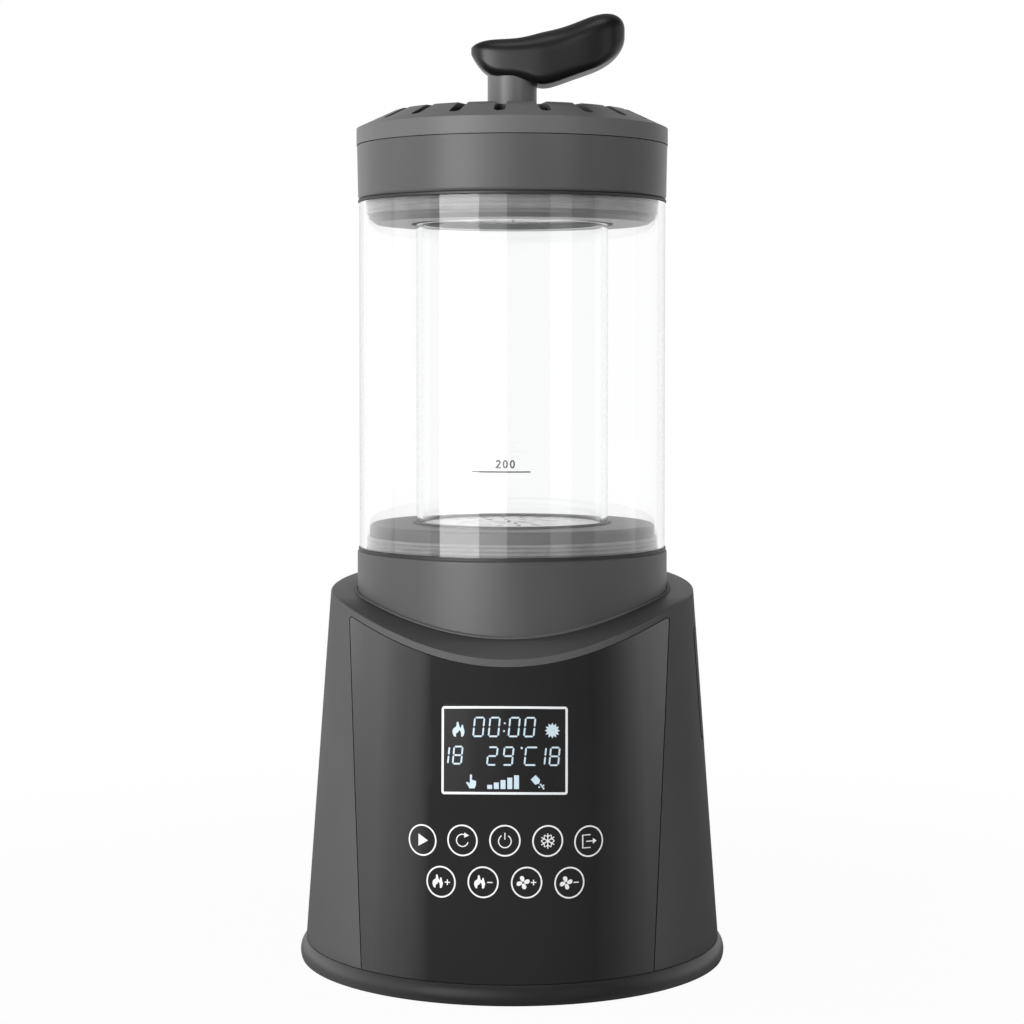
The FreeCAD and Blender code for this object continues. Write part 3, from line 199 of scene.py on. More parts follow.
def objectPattern(tree, scale, detail, stretch=(1, 1, 1)):
    # noise on object coordinates; a stretch squeezes it along one axis
    coords = addNode(tree, "ShaderNodeTexCoord").outputs["Object"]
    place = addNode(tree, "ShaderNodeMapping", Vector=coords, Scale=stretch).outputs["Vector"]
    return addNode(tree, "ShaderNodeTexNoise", Vector=place, Scale=scale, Detail=detail).outputs[0]


def spread(tree, pattern, middle, vary):
    # a pattern as a value that varies round its middle
    return ranged(tree, pattern, patternRange, (middle - vary, middle + vary))


def tint(tree, source, first, second, span=colorRange):
    # from one colour to another over a span of the source
    ramp = addNode(tree, "ShaderNodeValToRGB", Fac=source)
    for stop, place, color in zip(ramp.color_ramp.elements, span, (first, second)):
        stop.position = place
        stop.color = (*color, 1)
    return ramp.outputs["Color"]


def grainBump(tree, pattern, height, strength):
    bump = addNode(tree, "ShaderNodeBump", Height=pattern, Distance=height, Strength=strength)
    return bump.outputs["Normal"]


def facingUp(tree, slope):
    normal = addNode(tree, "ShaderNodeNewGeometry").outputs["Normal"]
    split = addNode(tree, "ShaderNodeSeparateXYZ", normal)
    return ranged(tree, split.outputs["Z"], slope, (0, 1))


def seenDirectly(tree):
    # 1 where the eye meets the backdrop, also through glass
    rays = addNode(tree, "ShaderNodeLightPath").outputs
    return calculated(tree, "MAXIMUM", rays["Is Camera Ray"], rays["Is Transmission Ray"])


def grey(level):
    return (level, level, level)


def shaded(color, share):
    return [channel * share for channel in color]


# backdrop: white behind the roaster, a dim room in front of it, and a pale floor

room = {
    "frontSky": 0.03,
    "backSky": 0.90,
    "skyTurn": 12,
    "skyRange": (-0.02, 0.16),
    "ceilingRange": (0.15, 0.65),
    "ceilingShare": 0.35,
    "floorSize": 12,
    "floorColor": grey(0.5),
    "floorDark": 0.985,
    "speckleScale": 30,
    "speckleDetail": 5,
    "whiteNear": 0.965,
    "whiteRange": (0.12, 0.60),
    "mirrorRange": (0.10, 0.60),
}


def buildWorld(look):
    # brightest behind and low; the eye sees it plain white
    world = bpy.data.worlds.new("studio")
    scene.world = world
    world.use_nodes = True
    tree = world.node_tree
    tree.nodes.clear()
    direction = addNode(tree, "ShaderNodeTexCoord").outputs["Generated"]
    turn = math.radians(look["skyTurn"])
    back = (-math.sin(turn), math.cos(turn), 0)
    away = addNode(tree, "ShaderNodeVectorMath", direction, back, operation="DOT_PRODUCT")
    skyLevels = (look["frontSky"], look["backSky"])
    sky = ranged(tree, away.outputs["Value"], look["skyRange"], skyLevels, "SMOOTHSTEP")
    height = addNode(tree, "ShaderNodeSeparateXYZ", direction).outputs["Z"]
    shares = (1.0, look["ceilingShare"])
    ceiling = ranged(tree, height, look["ceilingRange"], shares, "SMOOTHSTEP")
    level = calculated(tree, "MULTIPLY", sky, ceiling)
    around = addNode(tree, "ShaderNodeBackground", Color=white, Strength=level)
    plain = addNode(tree, "ShaderNodeBackground", Color=white, Strength=1.0)
    surface = layered(tree, seenDirectly(tree), around, plain)
    addNode(tree, "ShaderNodeOutputWorld", Surface=surface)


def buildFloor(look):
    # turns white away from the roaster; reflections see it white behind only
    bpy.ops.mesh.primitive_plane_add(size=look["floorSize"], location=(0, 0, 0))
    floor = bpy.context.object
    floor.name = "studioFloor"
    material, tree = newMaterial("paleFloor")
    pale = look["floorColor"]
    speckle = objectPattern(tree, look["speckleScale"], look["speckleDetail"])
    paint = tint(tree, speckle, shaded(pale, look["floorDark"]), pale)
    diffuse = addNode(tree, "ShaderNodeBsdfDiffuse", Color=paint)
    glow = addNode(tree, "ShaderNodeEmission", Color=white, Strength=1.0)
    place = addNode(tree, "ShaderNodeTexCoord").outputs["Object"]
    reach = addNode(tree, "ShaderNodeVectorMath", place, operation="LENGTH").outputs["Value"]
    fade = ranged(tree, reach, look["whiteRange"], (look["whiteNear"], 1.0), "SMOOTHSTEP")
    depth = addNode(tree, "ShaderNodeSeparateXYZ", place).outputs["Y"]
    behind = ranged(tree, depth, look["mirrorRange"], (0.0, look["backSky"]), "SMOOTHSTEP")
    glossy = addNode(tree, "ShaderNodeLightPath").outputs["Is Glossy Ray"]
    direct = calculated(tree, "MULTIPLY", seenDirectly(tree), fade)
    mirrored = calculated(tree, "MULTIPLY", glossy, behind)
    share = calculated(tree, "MAXIMUM", direct, mirrored)
    addNode(tree, "ShaderNodeOutputMaterial", Surface=layered(tree, share, diffuse, glow))
    floor.data.materials.append(material)


buildWorld(room)
buildFloor(room)
print("studio lit")


# plastics; a slope or a slant is given as the range over which the finish changes; a slope also
# darkens the colour as painted shade

moulded = {
    "cloudScale": 14,
    "cloudDetail": 3,
    "vary": 0.06,
    "grainScale": 2600,
    "grainDetail": 3,
    "grainHeight": 0.00002,
    "grain": 0.25,
    "glossVary": 0.03,
    "ior": 1.5,
    "specular": 0.5,
    # painted shade in slots and narrow corners
    "paintedShadeSamples": 8,
    "paintedShadePower": 3.0,
    "paintedShadeColor": grey(0.002),
    "slantBlend": 0.5,
}
plastics = {
    "shell": {
        "color": grey(0.085),
        "roughness": 0.68,
        "specular": 0.14,
        "paintedShadeReach": 0.006,
        # the crown's darker colour is painted shade; its roughness and specular are its own gloss
        "crown": {"color": grey(0.027), "roughness": 0.42, "specular": 0.5, "slope": (0.35, 0.6)},
    },
    "panel": {
        "color": grey(0.021),
        "roughness": 0.34,
        "grain": 0.05,
        "slant": {"range": (0.10, 0.28), "specular": (0.0, 1.0)},
    },
    "tray": {
        "color": grey(0.017),
        "roughness": 0.42,
        "slant": {"range": (0.12, 0.45), "specular": (0.15, 1.0)},
    },
    "socket": {"color": grey(0.09), "roughness": 0.5, "specular": 0.16},
    "collar": {"color": grey(0.058), "roughness": 0.46, "grain": 0.1},
    "lid": {"color": grey(0.077), "roughness": 0.34, "grain": 0.15, "specular": 0.24},
    "cap": {
        "color": grey(0.11),
        "roughness": 0.38,
        "grain": 0.2,
        "specular": 0.24,
        "paintedShadeReach": 0.014,
    },
    "post": {"color": grey(0.12), "roughness": 0.30, "specular": 0.25},
    "grip": {"color": grey(0.005), "roughness": 0.36, "grain": 0.08, "specular": 0.38},
    "lens": {"color": grey(0.018), "roughness": 0.2, "grain": 0.0, "specular": 0.06},
    "rim": {"color": grey(0.015), "roughness": 0.3, "grain": 0.05, "specular": 0.1},
    "module": {"color": (0.16, 0.17, 0.20), "roughness": 0.3},
    "blower": {"color": grey(0.07), "roughness": 0.55, "grain": 0.4},
    "relay": {"color": (0.02, 0.05, 0.22), "roughness": 0.35},
    "capacitor": {"color": (0.65, 0.45, 0.05), "roughness": 0.35},
    "inlet": {"color": grey(0.018), "roughness": 0.45},
    "cutout": {"color": (0.78, 0.74, 0.66), "roughness": 0.6, "grain": 0.4},
    "mica": {
        "color": (0.55, 0.43, 0.25),
        "roughness": 0.5,
        "grain": 0.5,
        "vary": 0.25,
        "cloudScale": 90,
    },
}


def plasticMaterial(name, own):
    # faint cloudiness in the colour, fine grain in gloss and height
    look = {**moulded, **own}
    color, vary = look["color"], look["vary"]
    rough, shine = look["roughness"], look["specular"]
    material, tree = newMaterial(name)
    cloud = objectPattern(tree, look["cloudScale"], look["cloudDetail"])
    grain = objectPattern(tree, look["grainScale"], look["grainDetail"])
    paint = tint(tree, cloud, shaded(color, 1 - vary), shaded(color, 1 + vary))
    if "crown" in look:
        # smoother where it faces up, and darker there by painted shade
        crown = look["crown"]
        up = facingUp(tree, crown["slope"])
        paint = mixed(tree, up, paint, (*crown["color"], 1))
        gloss = ranged(tree, up, (0, 1), (rough, crown["roughness"]))
        shine = ranged(tree, up, (0, 1), (shine, crown["specular"]))
    else:
        gloss = spread(tree, grain, rough, look["glossVary"])
    if "paintedShadeReach" in look:
        # painted shade: darker in slots and narrow corners, up to this distance
        nearby = addNode(
            tree,
            "ShaderNodeAmbientOcclusion",
            samples=look["paintedShadeSamples"],
            Distance=look["paintedShadeReach"],
        )
        openness = calculated(tree, "POWER", nearby.outputs["AO"], look["paintedShadePower"])
        paint = mixed(tree, openness, (*look["paintedShadeColor"], 1), paint)
    if "slant" in look:
        # lacquer, which mirrors more where it is seen at a slant
        slant = look["slant"]
        facing = addNode(tree, "ShaderNodeLayerWeight", Blend=look["slantBlend"])
        shine = ranged(tree, facing.outputs["Facing"], slant["range"], slant["specular"])
    shader = addNode(
        tree,
        "ShaderNodeBsdfPrincipled",
        Base_Color=paint,
        Roughness=gloss,
        Normal=grainBump(tree, grain, look["grainHeight"], look["grain"]),
        IOR=look["ior"],
        Specular_IOR_Level=look["specular"],
    )
    feed(tree, shader.inputs["Specular IOR Level"], shine)
    addNode(tree, "ShaderNodeOutputMaterial", Surface=shader.outputs[0])
    return material


# metals, drawn or turned: their lines run round the axis or along it

drawn = {
    "lineScale": 60,
    "lineDetail": 6,
    "dark": 0.86,
    "light": 1.08,
    "glossVary": 0.07,
    "grainHeight": 0.00001,
    "grain": 0.2,
}
metals = {
    "stainless": {"color": (0.62, 0.62, 0.61), "roughness": 0.30, "stretch": (1, 1, 30)},
    "screwSteel": {
        "color": (0.60, 0.60, 0.60),
        "roughness": 0.28,
        "lineScale": 500,
        "stretch": (1, 1, 1),
    },
    "motorSteel": {"color": (0.52, 0.52, 0.53), "roughness": 0.36, "stretch": (1, 1, 12)},
    "pinNickel": {
        "color": (0.76, 0.74, 0.70),
        "roughness": 0.18,
        "lineScale": 300,
        "stretch": (1, 12, 1),
    },
    "ribbonAlloy": {"color": (0.36, 0.31, 0.28), "roughness": 0.45, "stretch": (1, 1, 8)},
}


def metalMaterial(name, own):
    look = {**drawn, **own}
    color = look["color"]
    material, tree = newMaterial(name)
    lines = objectPattern(tree, look["lineScale"], look["lineDetail"], look["stretch"])
    shader = addNode(
        tree,
        "ShaderNodeBsdfPrincipled",
        Metallic=1.0,
        Base_Color=tint(tree, lines, shaded(color, look["dark"]), shaded(color, look["light"])),
        Roughness=spread(tree, lines, look["roughness"], look["glossVary"]),
        Normal=grainBump(tree, lines, look["grainHeight"], look["grain"]),
    )
    addNode(tree, "ShaderNodeOutputMaterial", Surface=shader.outputs[0])
    return material


# rubbers, a little dusty

dusty = {
    "dustScale": 160,
    "dustDetail": 8,
    "dark": 0.85,
    "light": 1.2,
    "glossVary": 0.06,
    "grainHeight": 0.00003,
    "grain": 0.2,
    "sheen": 0.1,
}
rubbers = {
    "foot": {"color": grey(0.016), "roughness": 0.72},
    "pads": {"color": grey(0.02), "roughness": 0.7},
    "seal": {"color": grey(0.12), "roughness": 0.48, "sheen": 0.2},
    "gasket": {"color": grey(0.015), "roughness": 0.5, "sheen": 0.0},
}


def rubberMaterial(name, own):
    look = {**dusty, **own}
    color = look["color"]
    material, tree = newMaterial(name)
    dust = objectPattern(tree, look["dustScale"], look["dustDetail"])
    shader = addNode(
        tree,
        "ShaderNodeBsdfPrincipled",
        Base_Color=tint(tree, dust, shaded(color, look["dark"]), shaded(color, look["light"])),
        Roughness=spread(tree, dust, look["roughness"], look["glossVary"]),
        Normal=grainBump(tree, dust, look["grainHeight"], look["grain"]),
        Sheen_Weight=look["sheen"],
    )
    addNode(tree, "ShaderNodeOutputMaterial", Surface=shader.outputs[0])
    return material


# tube glass

clearGlass = {
    "color": (0.998, 1.0, 1.0),
    "paintedEdgeBlend": 0.5,
    "paintedEdgeSpan": (0.86, 1.0),
    "roughness": 0.0,
    "shadow": (0.96, 0.965, 0.965, 1),
}
glasses = {
    "outerGlass": {"paintedEdgeShade": (0.55, 0.57, 0.57), "ior": 1.47},
    "innerGlass": {"paintedEdgeShade": (0.62, 0.64, 0.64), "ior": 1.31},
}


def glassMaterial(name, own):
    # painted shade: greyer where the wall is seen edge on; its shadow is faint
    look = {**clearGlass, **own}
    material, tree = newMaterial(name)
    facing = addNode(tree, "ShaderNodeLayerWeight", Blend=look["paintedEdgeBlend"]).outputs["Facing"]
    glass = addNode(
        tree,
        "ShaderNodeBsdfPrincipled",
        # the grey edge colour is painted shade
        Base_Color=tint(tree, facing, look["color"], look["paintedEdgeShade"], look["paintedEdgeSpan"]),
        Roughness=look["roughness"],
        IOR=look["ior"],
        Transmission_Weight=1.0,
    )
    clear = addNode(tree, "ShaderNodeBsdfTransparent", Color=look["shadow"])
    shadowRay = addNode(tree, "ShaderNodeLightPath").outputs["Is Shadow Ray"]
    addNode(tree, "ShaderNodeOutputMaterial", Surface=layered(tree, shadowRay, glass, clear))
    return material


# screen-printed inks, a little uneven, with a glow where they are backlit

printed = {"speckleScale": 900, "speckleDetail": 2, "dark": 0.94}
inks = {
    "keyInk": {"color": (0.74, 0.74, 0.74), "roughness": 0.5, "glow": 0.10},
    "displayInk": {"color": (0.45, 0.55, 0.61), "roughness": 0.5, "glow": 0.25},
    "frameInk": {"color": (0.70, 0.72, 0.74), "roughness": 0.4, "glow": 0.10},
    "markInk": {"color": (0.02, 0.02, 0.02), "roughness": 0.5, "glow": 0.0},
}


def printMaterial(name, own):
    look = {**printed, **own}
    material, tree = newMaterial(name)
    speckle = objectPattern(tree, look["speckleScale"], look["speckleDetail"])
    paint = tint(tree, speckle, shaded(look["color"], look["dark"]), look["color"])
    shader = addNode(
        tree,
        "ShaderNodeBsdfPrincipled",
        Base_Color=paint,
        Roughness=look["roughness"],
        Emission_Color=paint,
        Emission_Strength=look["glow"],
    )
    addNode(tree, "ShaderNodeOutputMaterial", Surface=shader.outputs[0])
    return material


# circuit boards: green laminate with lighter copper tracks under the lacquer

boards = {
    "board": {
        "lacquer": (0.012, 0.11, 0.04),
        "track": (0.05, 0.26, 0.09),
        "trackScale": 150,
        "trackSpan": (0.05, 0.09),
        "roughness": 0.3,
    },
}


def boardMaterial(name, look):
    material, tree = newMaterial(name)
    tracks = addNode(
        tree,
        "ShaderNodeTexVoronoi",
        feature="DISTANCE_TO_EDGE",
        Vector=addNode(tree, "ShaderNodeTexCoord").outputs["Object"],
        Scale=look["trackScale"],
    )
    edge = tracks.outputs["Distance"]
    shader = addNode(
        tree,
        "ShaderNodeBsdfPrincipled",
        Base_Color=tint(tree, edge, look["track"], look["lacquer"], look["trackSpan"]),
        Roughness=look["roughness"],
    )
    addNode(tree, "ShaderNodeOutputMaterial", Surface=shader.outputs[0])
    return material


finishKinds = (
    (plasticMaterial, plastics),
    (metalMaterial, metals),
    (rubberMaterial, rubbers),
    (glassMaterial, glasses),
    (printMaterial, inks),
    (boardMaterial, boards),
)
materials = {}
for makeFinish, finishLooks in finishKinds:
    for finishName, finishLook in finishLooks.items():
        materials[finishName] = makeFinish(finishName, finishLook)
print("finishes made:", len(materials))


# the CAD nodes that take each finish

dressed = {
    "shell": ["outer_shell", "side_cover"],
    "panel": ["front_panel"],
    "rim": ["display_bezel"],
    "lens": ["display_window"],
    "module": ["display_module"],
    "board": ["control_board", "power_board"],
    "pads": ["touch_pads"],
    "tray": ["base_tray"],
    "foot": ["foot_1", "foot_2", "foot_3", "foot_4"],
    "socket": ["chamber_socket"],
    "screwSteel": ["tray_screws", "socket_screws", "duct_screws", "board_screws", "handle_screw"],
    "blower": ["blower_housing", "impeller"],
    "motorSteel": ["fan_motor", "motor_shaft"],
    "stainless": ["heater_duct", "air_sleeve", "air_plate", "chaff_screen", "temperature_probe"],
    "mica": ["heater_frame"],
    "ribbonAlloy": ["heater_coil"],
    "cutout": ["thermal_cutout"],
    "relay": ["power_relay"],
    "capacitor": ["filter_capacitor"],
    "inlet": ["power_inlet"],
    "pinNickel": ["inlet_pins"],
    "collar": ["jar_base"],
    "seal": ["jar_seal", "lid_seal"],
    "gasket": ["jar_gasket", "lid_gasket"],
    "outerGlass": ["outer_glass"],
    "innerGlass": ["inner_glass"],
    "lid": ["lid_body"],
    "cap": ["vent_cap"],
    "post": ["handle_post"],
    "grip": ["handle_grip"],
}
smoothing = {"mergeDistance": 0.000004, "sharpAngle": 28}


def dressNode(name, finish, look):
    # round faces shade smooth and real edges stay sharp
    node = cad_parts[name]
    node.data.materials.clear()
    node.data.materials.append(materials[finish])
    node.data.shade_smooth()
    weld = node.modifiers.new("weld", "WELD")
    weld.merge_threshold = look["mergeDistance"]
    split = node.modifiers.new("sharp edges", "EDGE_SPLIT")
    split.split_angle = math.radians(look["sharpAngle"])
    split.use_edge_sharp = False


for nodeFinish, nodeNames in dressed.items():
    for nodeName in nodeNames:
        dressNode(nodeName, nodeFinish, smoothing)
print("nodes dressed:", sum(len(nodeNames) for nodeNames in dressed.values()))


# flat drawing, in millimetres, for what is printed or shown; the mitre's floor limits how far
# a stroke's sharp corners reach

drawing = {"curveSteps": 8, "mitreFloor": 0.25}


def selectOnly(pieces):
    bpy.ops.object.select_all(action="DESELECT")
    for piece in pieces:
        piece.select_set(True)
    bpy.context.view_layer.objects.active = pieces[0]


def drawFlat(name, loops, smooth=False):
    # closed loops in the XZ plane, filled; a loop inside another leaves a hole
    curve = bpy.data.curves.new(name, "CURVE")
    curve.dimensions = "2D"
    curve.fill_mode = "BOTH"
    curve.resolution_u = drawing["curveSteps"]
    for loop in loops:
        spline = curve.splines.new("BEZIER" if smooth else "POLY")
        points = spline.bezier_points if smooth else spline.points
        points.add(len(loop) - len(points))
        for point, (across, up) in zip(points, loop):
            if smooth:
                point.co = (across * mm, up * mm, 0)
                point.handle_left_type = point.handle_right_type = "AUTO"
            else:
                point.co = (across * mm, up * mm, 0, 1)
        spline.use_cyclic_u = True
    shape = bpy.data.objects.new(name, curve)
    scene.collection.objects.link(shape)
    selectOnly([shape])
    bpy.ops.object.convert(target="MESH")
    shape = bpy.context.object
    shape.rotation_euler.x = math.radians(90)
    bpy.ops.object.transform_apply(location=False, rotation=True, scale=False)
    return shape


def drawEach(name, loops, smooth=False):
    # every loop by itself, so that one over another leaves no hole
    return [drawFlat(name, [loop], smooth) for loop in loops]


def joinShapes(shapes, name):
    selectOnly(shapes)
    bpy.ops.object.join()
    joined = bpy.context.object
    joined.name = name
    return joined


def moved(loops, across, up):
    return [[(x + across, z + up) for x, z in loop] for loop in loops]


def scaled(loops, size):
    return [[(x * size, z * size) for x, z in loop] for loop in loops]


def turned(loops, degrees):
    c, s = math.cos(math.radians(degrees)), math.sin(math.radians(degrees))
    return [[(x * c - z * s, x * s + z * c) for x, z in loop] for loop in loops]


def placed(loops, look):
    return moved(scaled(loops, look["size"]), *look["place"])


def rectangle(left, right, low, high):
    return [(left, low), (right, low), (right, high), (left, high)]


def onCircle(across, up, radius, degrees):
    angles = [math.radians(d) for d in degrees]
    return [(across + radius * math.cos(a), up + radius * math.sin(a)) for a in angles]


def roundLoop(across, up, radius, count):
    return onCircle(across, up, radius, [360 / count * i for i in range(count)])


def arcPoints(across, up, radius, start, stop, count=20):
    steps = [start + (stop - start) * i / count for i in range(count + 1)]
    return onCircle(across, up, radius, steps)


def stroke(points, width):
    # an even line along the points, with flat ends
    half = width / 2
    left, right = [], []
    for i, (x, z) in enumerate(points):
        before = Vector(points[max(i - 1, 0)])
        after = Vector(points[min(i + 1, len(points) - 1)])
        way = (after - before).normalized()
        here = Vector((x, z))
        reach = half
        if 0 < i < len(points) - 1:
            turn = (here - before).normalized().dot((after - here).normalized())
            reach = half / math.sqrt(max(drawing["mitreFloor"], (1 + turn) / 2))
        side = Vector((-way.y, way.x)) * reach
        left.append(tuple(here + side))
        right.append(tuple(here - side))
    return left + right[::-1]


# the cone that the panel follows, read from two levels of the frame

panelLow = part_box("front_panel")[0]
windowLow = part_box("display_window")[0]
coneDraft = (windowLow.y - panelLow.y) / (windowLow.z - panelLow.z)


def coneRadius(level):
    return -panelLow.y - coneDraft * (level - panelLow.z)


inkLayer = {"thickness": 0.00003, "lift": 0.00002, "mergeDistance": 0.000002}


def wrapRound(piece, radiusAt, lift, fall=0.0):
    # bends a flat drawing round the axis, its width kept as length on the surface;
    # a fall lowers its ends, so that a row looks straight from a little above
    for vertex in piece.data.vertices:
        radius = radiusAt(vertex.co.z)
        turn = vertex.co.x / radius
        level = vertex.co.z - fall * radius * (1 - math.cos(turn))
        reach = radiusAt(level) + lift
        vertex.co = (reach * math.sin(turn), -reach * math.cos(turn), level)


def finishPrint(piece, ink, body, thickness):
    # merges the drawing, gives it its thickness and its ink, and sets it on its body
    selectOnly([piece])
    bpy.ops.object.mode_set(mode="EDIT")
    bpy.ops.mesh.select_all(action="SELECT")
    bpy.ops.mesh.remove_doubles(threshold=inkLayer["mergeDistance"])
    bpy.ops.object.mode_set(mode="OBJECT")
    film = piece.modifiers.new("film", "SOLIDIFY")
    film.thickness = thickness
    film.offset = 1
    bpy.ops.object.modifier_apply(modifier=film.name)
    bpy.ops.object.mode_set(mode="EDIT")
    bpy.ops.mesh.select_all(action="SELECT")
    bpy.ops.mesh.normals_make_consistent(inside=False)
    bpy.ops.object.mode_set(mode="OBJECT")
    piece.data.materials.clear()
    piece.data.materials.append(materials[ink])
    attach(piece, body)


# nine touch keys: rings with plain symbols

keys = {
    "ring": 6.2,
    "ringPoints": 72,
    "line": 0.60,
    "symbol": 0.36,
    "symbolSize": 1.14,
    "across": -0.4,
    "upperLevel": 65.7,
    "lowerLevel": 49.4,
    "fall": 0.19,
    "pitch": 11.6,
    "flame": 2.1,
    "fan": 2.0,
    "pictureAcross": -1.4,
    "signAcross": 2.4,
    "signHalf": 0.95,
}
frost = {"bar": 2.6, "fork": 1.45, "twig": 2.35, "twigTurn": 0.5, "twigLine": 0.8}


def frostLoops(look, line):
    # three bars through the middle, and two twigs near each of their six ends
    loops = []
    for turn in range(0, 180, 60):
        a = math.radians(turn + 90)
        tip = (look["bar"] * math.cos(a), look["bar"] * math.sin(a))
        loops.append(stroke([tip, (-tip[0], -tip[1])], line))
    for turn in range(0, 360, 60):
        a = math.radians(turn + 90)
        fork = (look["fork"] * math.cos(a), look["fork"] * math.sin(a))
        for side in (-1, 1):
            b = a + side * look["twigTurn"]
            twig = (look["twig"] * math.cos(b), look["twig"] * math.sin(b))
            loops.append(stroke([fork, twig], line * look["twigLine"]))
    return loops


def upperSymbols(line):
    # play, cycle, power, cool and leave
    play = [[(-1.5, -2.1), (2.2, 0), (-1.5, 2.1)]]
    cycle = [stroke(arcPoints(0, 0, 2.1, 60, 345), line), [(0.75, 2.75), (2.4, 1.75), (0.65, 0.95)]]
    power = [stroke(arcPoints(0, -0.2, 2.2, 122, 418), line), stroke([(0, 0.4), (0, 2.7)], line)]
    door = stroke([(0.6, 2.2), (-2.3, 2.2), (-2.3, -2.2), (0.6, -2.2)], line)
    leave = [door, stroke([(-1.0, 0), (2.2, 0)], line), [(1.5, 1.0), (2.9, 0), (1.5, -1.0)]]
    return [play, cycle, power, frostLoops(frost, line), leave]


def flameLoops():
    # two tongues, open at the foot
    loop = [(-0.42, -1.02), (-0.86, -0.5), (-0.78, 0.12), (-0.34, 0.5), (-0.12, 1.14)]
    loop += [(0.12, 0.66), (0.3, 0.28), (0.46, 0.52), (0.56, 0.72), (0.8, 0.2)]
    loop += [(0.92, -0.36), (0.5, -1.02), (0.42, -0.6), (0.16, -0.1), (-0.02, -0.34)]
    loop += [(-0.34, -0.6)]
    return [loop]


def fanLoops():
    petal = [(0.16, 0.0), (0.42, 0.42), (1.0, 0.5), (1.08, 0.02), (0.62, -0.22)]
    loops = []
    for turn in range(0, 360, 90):
        loops += turned([petal], turn)
    return loops


def signLoops(across, half, line, plus):
    loops = [stroke([(across - half, 0), (across + half, 0)], line)]
    if plus:
        left, right = across - line / 2, across + line / 2
        loops += [rectangle(left, right, line / 2, half), rectangle(left, right, -half, -line / 2)]
    return loops


def keyPlaces(look, level, count):
    # evenly round the cone, the outer keys lower, as in wrapRound
    radius = coneRadius(level * mm) / mm
    places = []
    for step in range(count):
        angle = math.radians(look["pitch"] * (step - (count - 1) / 2))
        up = level - look["fall"] * radius * (1 - math.cos(angle))
        places.append((radius * angle + look["across"], up))
    return places


def drawRing(look, across, up):
    radii = (look["ring"], look["ring"] - look["line"])
    loops = [roundLoop(0, 0, radius, look["ringPoints"]) for radius in radii]
    return drawFlat("ring", moved(loops, across, up))


def buildKeys(look):
    shapes = []
    line, size = look["symbol"], look["symbolSize"]
    symbols = upperSymbols(line)
    upper = keyPlaces(look, look["upperLevel"], len(symbols))
    for (across, up), symbol in zip(upper, symbols):
        shapes.append(drawRing(look, across, up))
        shapes += drawEach("symbol", moved(scaled(symbol, size), across, up))
    flame = scaled(flameLoops(), look["flame"])
    fan = scaled(fanLoops(), look["fan"])
    pictures = ((flame, True), (flame, False), (fan, True), (fan, False))
    lower = keyPlaces(look, look["lowerLevel"], len(pictures))
    for (across, up), (picture, plus) in zip(lower, pictures):
        shapes.append(drawRing(look, across, up))
        picture = moved(scaled(picture, size), across + look["pictureAcross"], up)
        shapes += drawEach("symbol", picture, smooth=True)
        sign = scaled(signLoops(look["signAcross"], look["signHalf"], line, plus), size)
        shapes += drawEach("sign", moved(sign, across, up))
    marks = joinShapes(shapes, "keyMarks")
    wrapRound(marks, coneRadius, inkLayer["lift"])
    finishPrint(marks, "keyInk", "base", inkLayer["thickness"])


buildKeys(keys)
print("keys printed")


# display contents: clock, two settings, temperature and small symbols

readout = {
    "clock": {"text": "00:00", "left": -12.75, "low": 106.2, "height": 8.0, "pitch": 6.15},
    "settingLeft": {"text": "18", "left": -24.5, "low": 95.4, "height": 7.4, "pitch": 3.4},
    "temperature": {"text": "29", "left": -7.2, "low": 95.0, "height": 7.6, "pitch": 6.3},
    "unit": {"text": "C", "left": 7.6, "low": 95.0, "height": 7.6, "pitch": 6.0, "wide": 0.7},
    "settingRight": {"text": "18", "left": 14.1, "low": 95.0, "height": 7.6, "pitch": 3.4},
    "degree": {"place": (6.9, 102.0), "radius": 0.45, "points": 20},
    "sun": {"place": (19.1, 108.9), "radius": 3.1, "valley": 0.68, "rays": 12},
    "hand": {"place": (-13.2, 88.7), "size": 0.9},
    "bars": {
        "left": -6.7,
        "low": 85.9,
        "count": 5,
        "wide": 1.95,
        "pitch": 2.65,
        "shortest": 1.6,
        "rise": 0.95,
    },
    "scoop": {"place": (13.0, 88.5), "size": 0.95, "grainPoints": 12},
    "flame": {"place": (-18.4, 109.1), "size": 2.7},
    "across": -0.75,
    "fall": 0.17,
}
digit = {
    "bar": 0.68,
    "gap": 0.24,
    "wide": 0.56,
    "lean": 0.10,
    "oneBack": 0.28,
    "colonLevels": (0.3, 0.68),
    "colonAcross": 0.1,
    "colonPitch": 0.28,
}
segmentsOn = {
    "0": "abcdef",
    "1": "bc",
    "2": "abged",
    "8": "abcdefg",
    "9": "abcdfg",
    "C": "adef",
}


def segmentLoops(sign, left, low, height, wide):
    # seven bars with pointed ends, of which the sign's are lit
    width = height * wide
    middle = height / 2
    half = digit["bar"] / 2
    gap = digit["bar"] * digit["gap"]
    near, far, top = half, width - half, height - half
    ends = {
        "a": ((near, top), (far, top)),
        "b": ((far, top), (far, middle)),
        "c": ((far, middle), (far, half)),
        "d": ((near, half), (far, half)),
        "e": ((near, middle), (near, half)),
        "f": ((near, top), (near, middle)),
        "g": ((near, middle), (far, middle)),
    }
    loops = []
    for letter in segmentsOn[sign]:
        first, last = (Vector(end) for end in ends[letter])
        way = (last - first).normalized()
        side = Vector((-way.y, way.x)) * half
        first += way * gap
        last -= way * gap
        loop = [first, first + way * half + side, last - way * half + side]
        loop += [last, last - way * half - side, first + way * half - side]
        loops.append([(left + p.x, low + p.y) for p in loop])
    return loops


